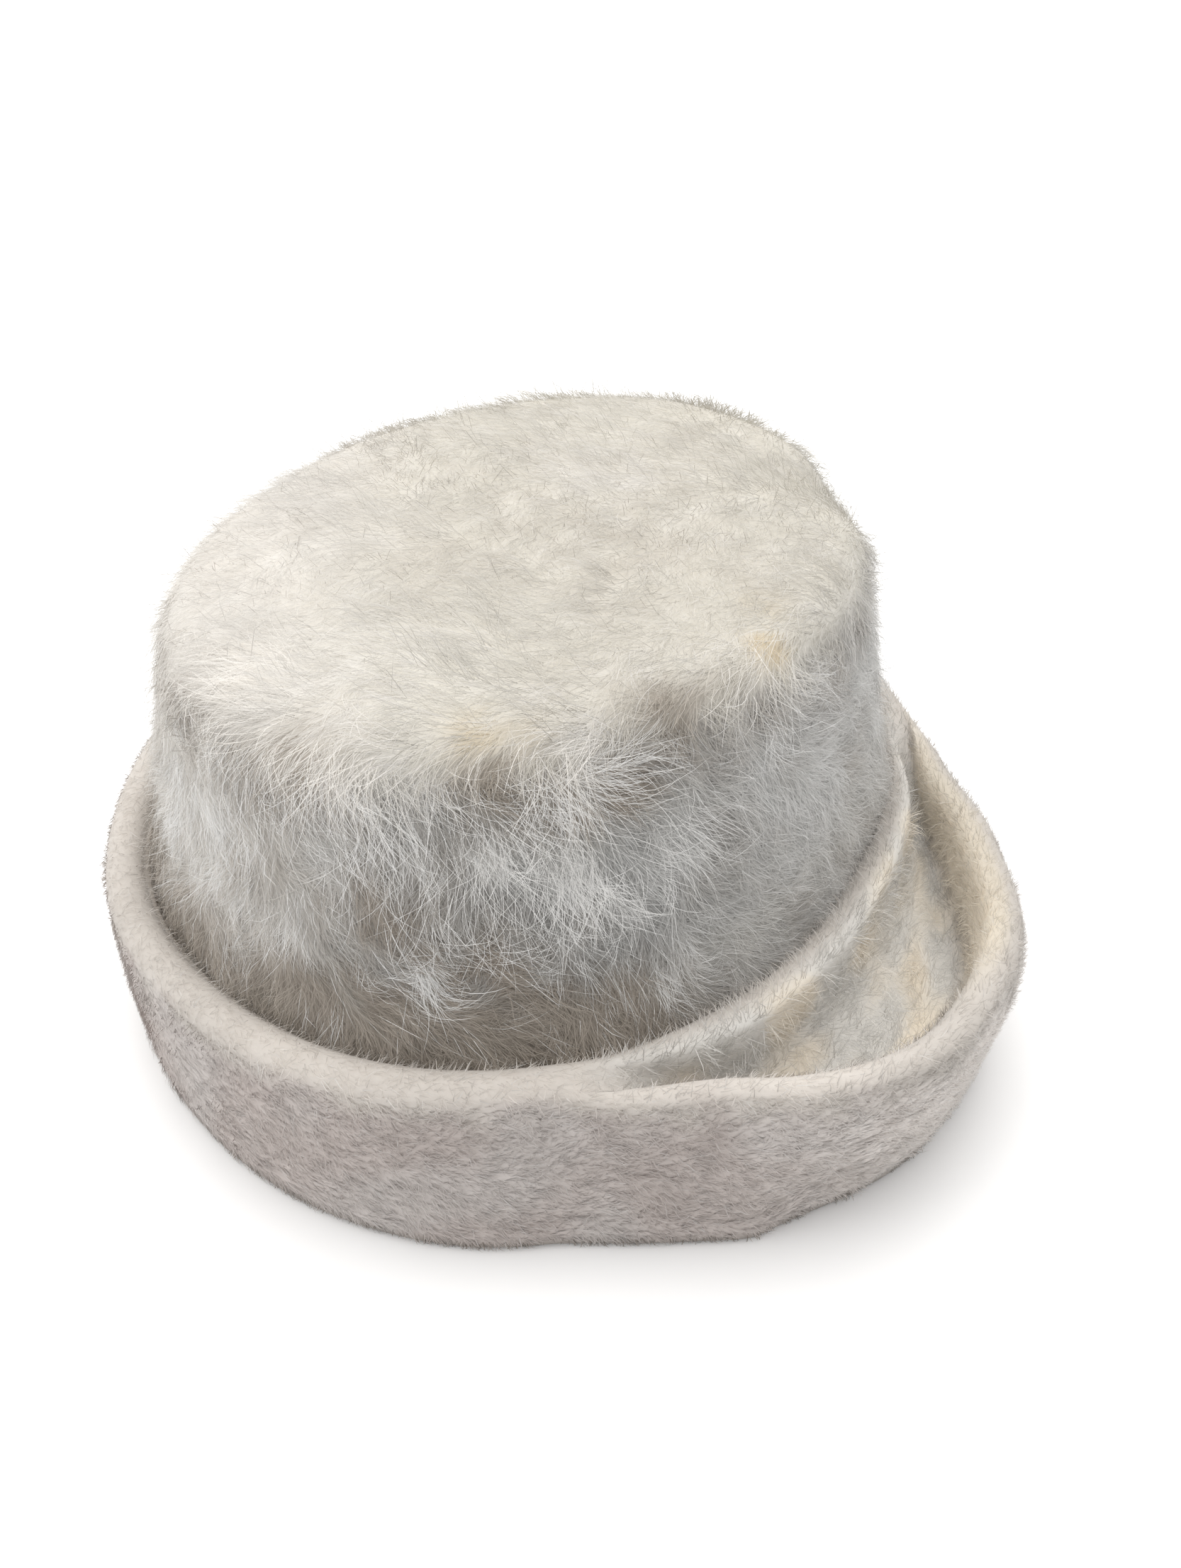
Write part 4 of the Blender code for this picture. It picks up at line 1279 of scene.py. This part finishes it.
# %% [markdown]
# The photograph was taken on a white table under a broad soft light, a little behind the hat, so the
# top is bright and the front lies in its own soft shade. A weaker lamp stands in for a pale wall at
# the hat's left, and a bright room fills the rest. The camera looks down at 42 degrees from close
# by, which is why the crown's top looms and the foot runs together.

# %% Table, light and camera
FLOOR_SIDE = 8.0
CAMERA_FROM_AXIS = np.array([12.48, -233.28, 240.0])     # from the crown's axis, on the table
CAMERA_TILT = 48.0
FOCAL_PIXELS, PHOTO_HEIGHT, SENSOR = 1600.0, 2212.0, 36.0

ROOM_COLOUR, ROOM_STRENGTH = (1.0, 0.985, 0.965, 1.0), 0.62
TABLE_WHITE = (0.955, 0.962, 0.975, 1.0)
TABLE_FINISH = {"Roughness": 0.7, "Specular IOR Level": 0.2, "Base Color": TABLE_WHITE}


def soft_lamp(name, sides, watts, colour, place, turn):
    """A lamp with an even face: its sides and place in metres, its turn in degrees."""
    light = bpy.data.lights.new(name, "AREA")
    light.shape = "RECTANGLE"
    light.size, light.size_y = sides
    light.energy = watts
    light.color = colour
    lamp = bpy.data.objects.new(name, light)
    lamp.location = place
    lamp.rotation_euler = [math.radians(angle) for angle in turn]
    bpy.context.scene.collection.objects.link(lamp)
    print("lamp:", name, watts, "watts")


floor_mesh = bpy.data.meshes.new("floor")
half = FLOOR_SIDE / 2
floor_mesh.from_pydata([(-half, -half, 0), (half, -half, 0), (half, half, 0), (-half, half, 0)],
                       [], [(0, 1, 2, 3)])
floor = bpy.data.objects.new("floor", floor_mesh)
bpy.context.scene.collection.objects.link(floor)
floor_mesh.materials.append(new_finish("white table", TABLE_FINISH)[0])

world = bpy.data.worlds.new("soft room")
bpy.context.scene.world = world
world.use_nodes = True
background = world.node_tree.nodes["Background"]
background.inputs["Color"].default_value = ROOM_COLOUR
background.inputs["Strength"].default_value = ROOM_STRENGTH

soft_lamp("window overhead", (3.4, 2.6), 102.0, (1.0, 0.985, 0.96),
          place=(-0.15, 1.1, 3.0), turn=(-20.0, 0.0, 0.0))
soft_lamp("pale wall", (2.4, 2.4), 16.0, (1.0, 0.98, 0.95),
          place=(-2.0, 0.0, 1.3), turn=(0.0, -60.0, 0.0))

camera = bpy.data.cameras.new("camera")
camera.sensor_width = SENSOR
camera.lens = SENSOR * FOCAL_PIXELS / PHOTO_HEIGHT
camera.clip_start = 0.01
camera_object = bpy.data.objects.new("camera", camera)
camera_object.location = ((CAMERA_FROM_AXIS - HAT_MIDDLE) * MM).tolist()
camera_object.rotation_euler = (math.radians(CAMERA_TILT), 0.0, 0.0)
bpy.context.scene.collection.objects.link(camera_object)
bpy.context.scene.camera = camera_object
bpy.context.scene.view_settings.view_transform = "Standard"
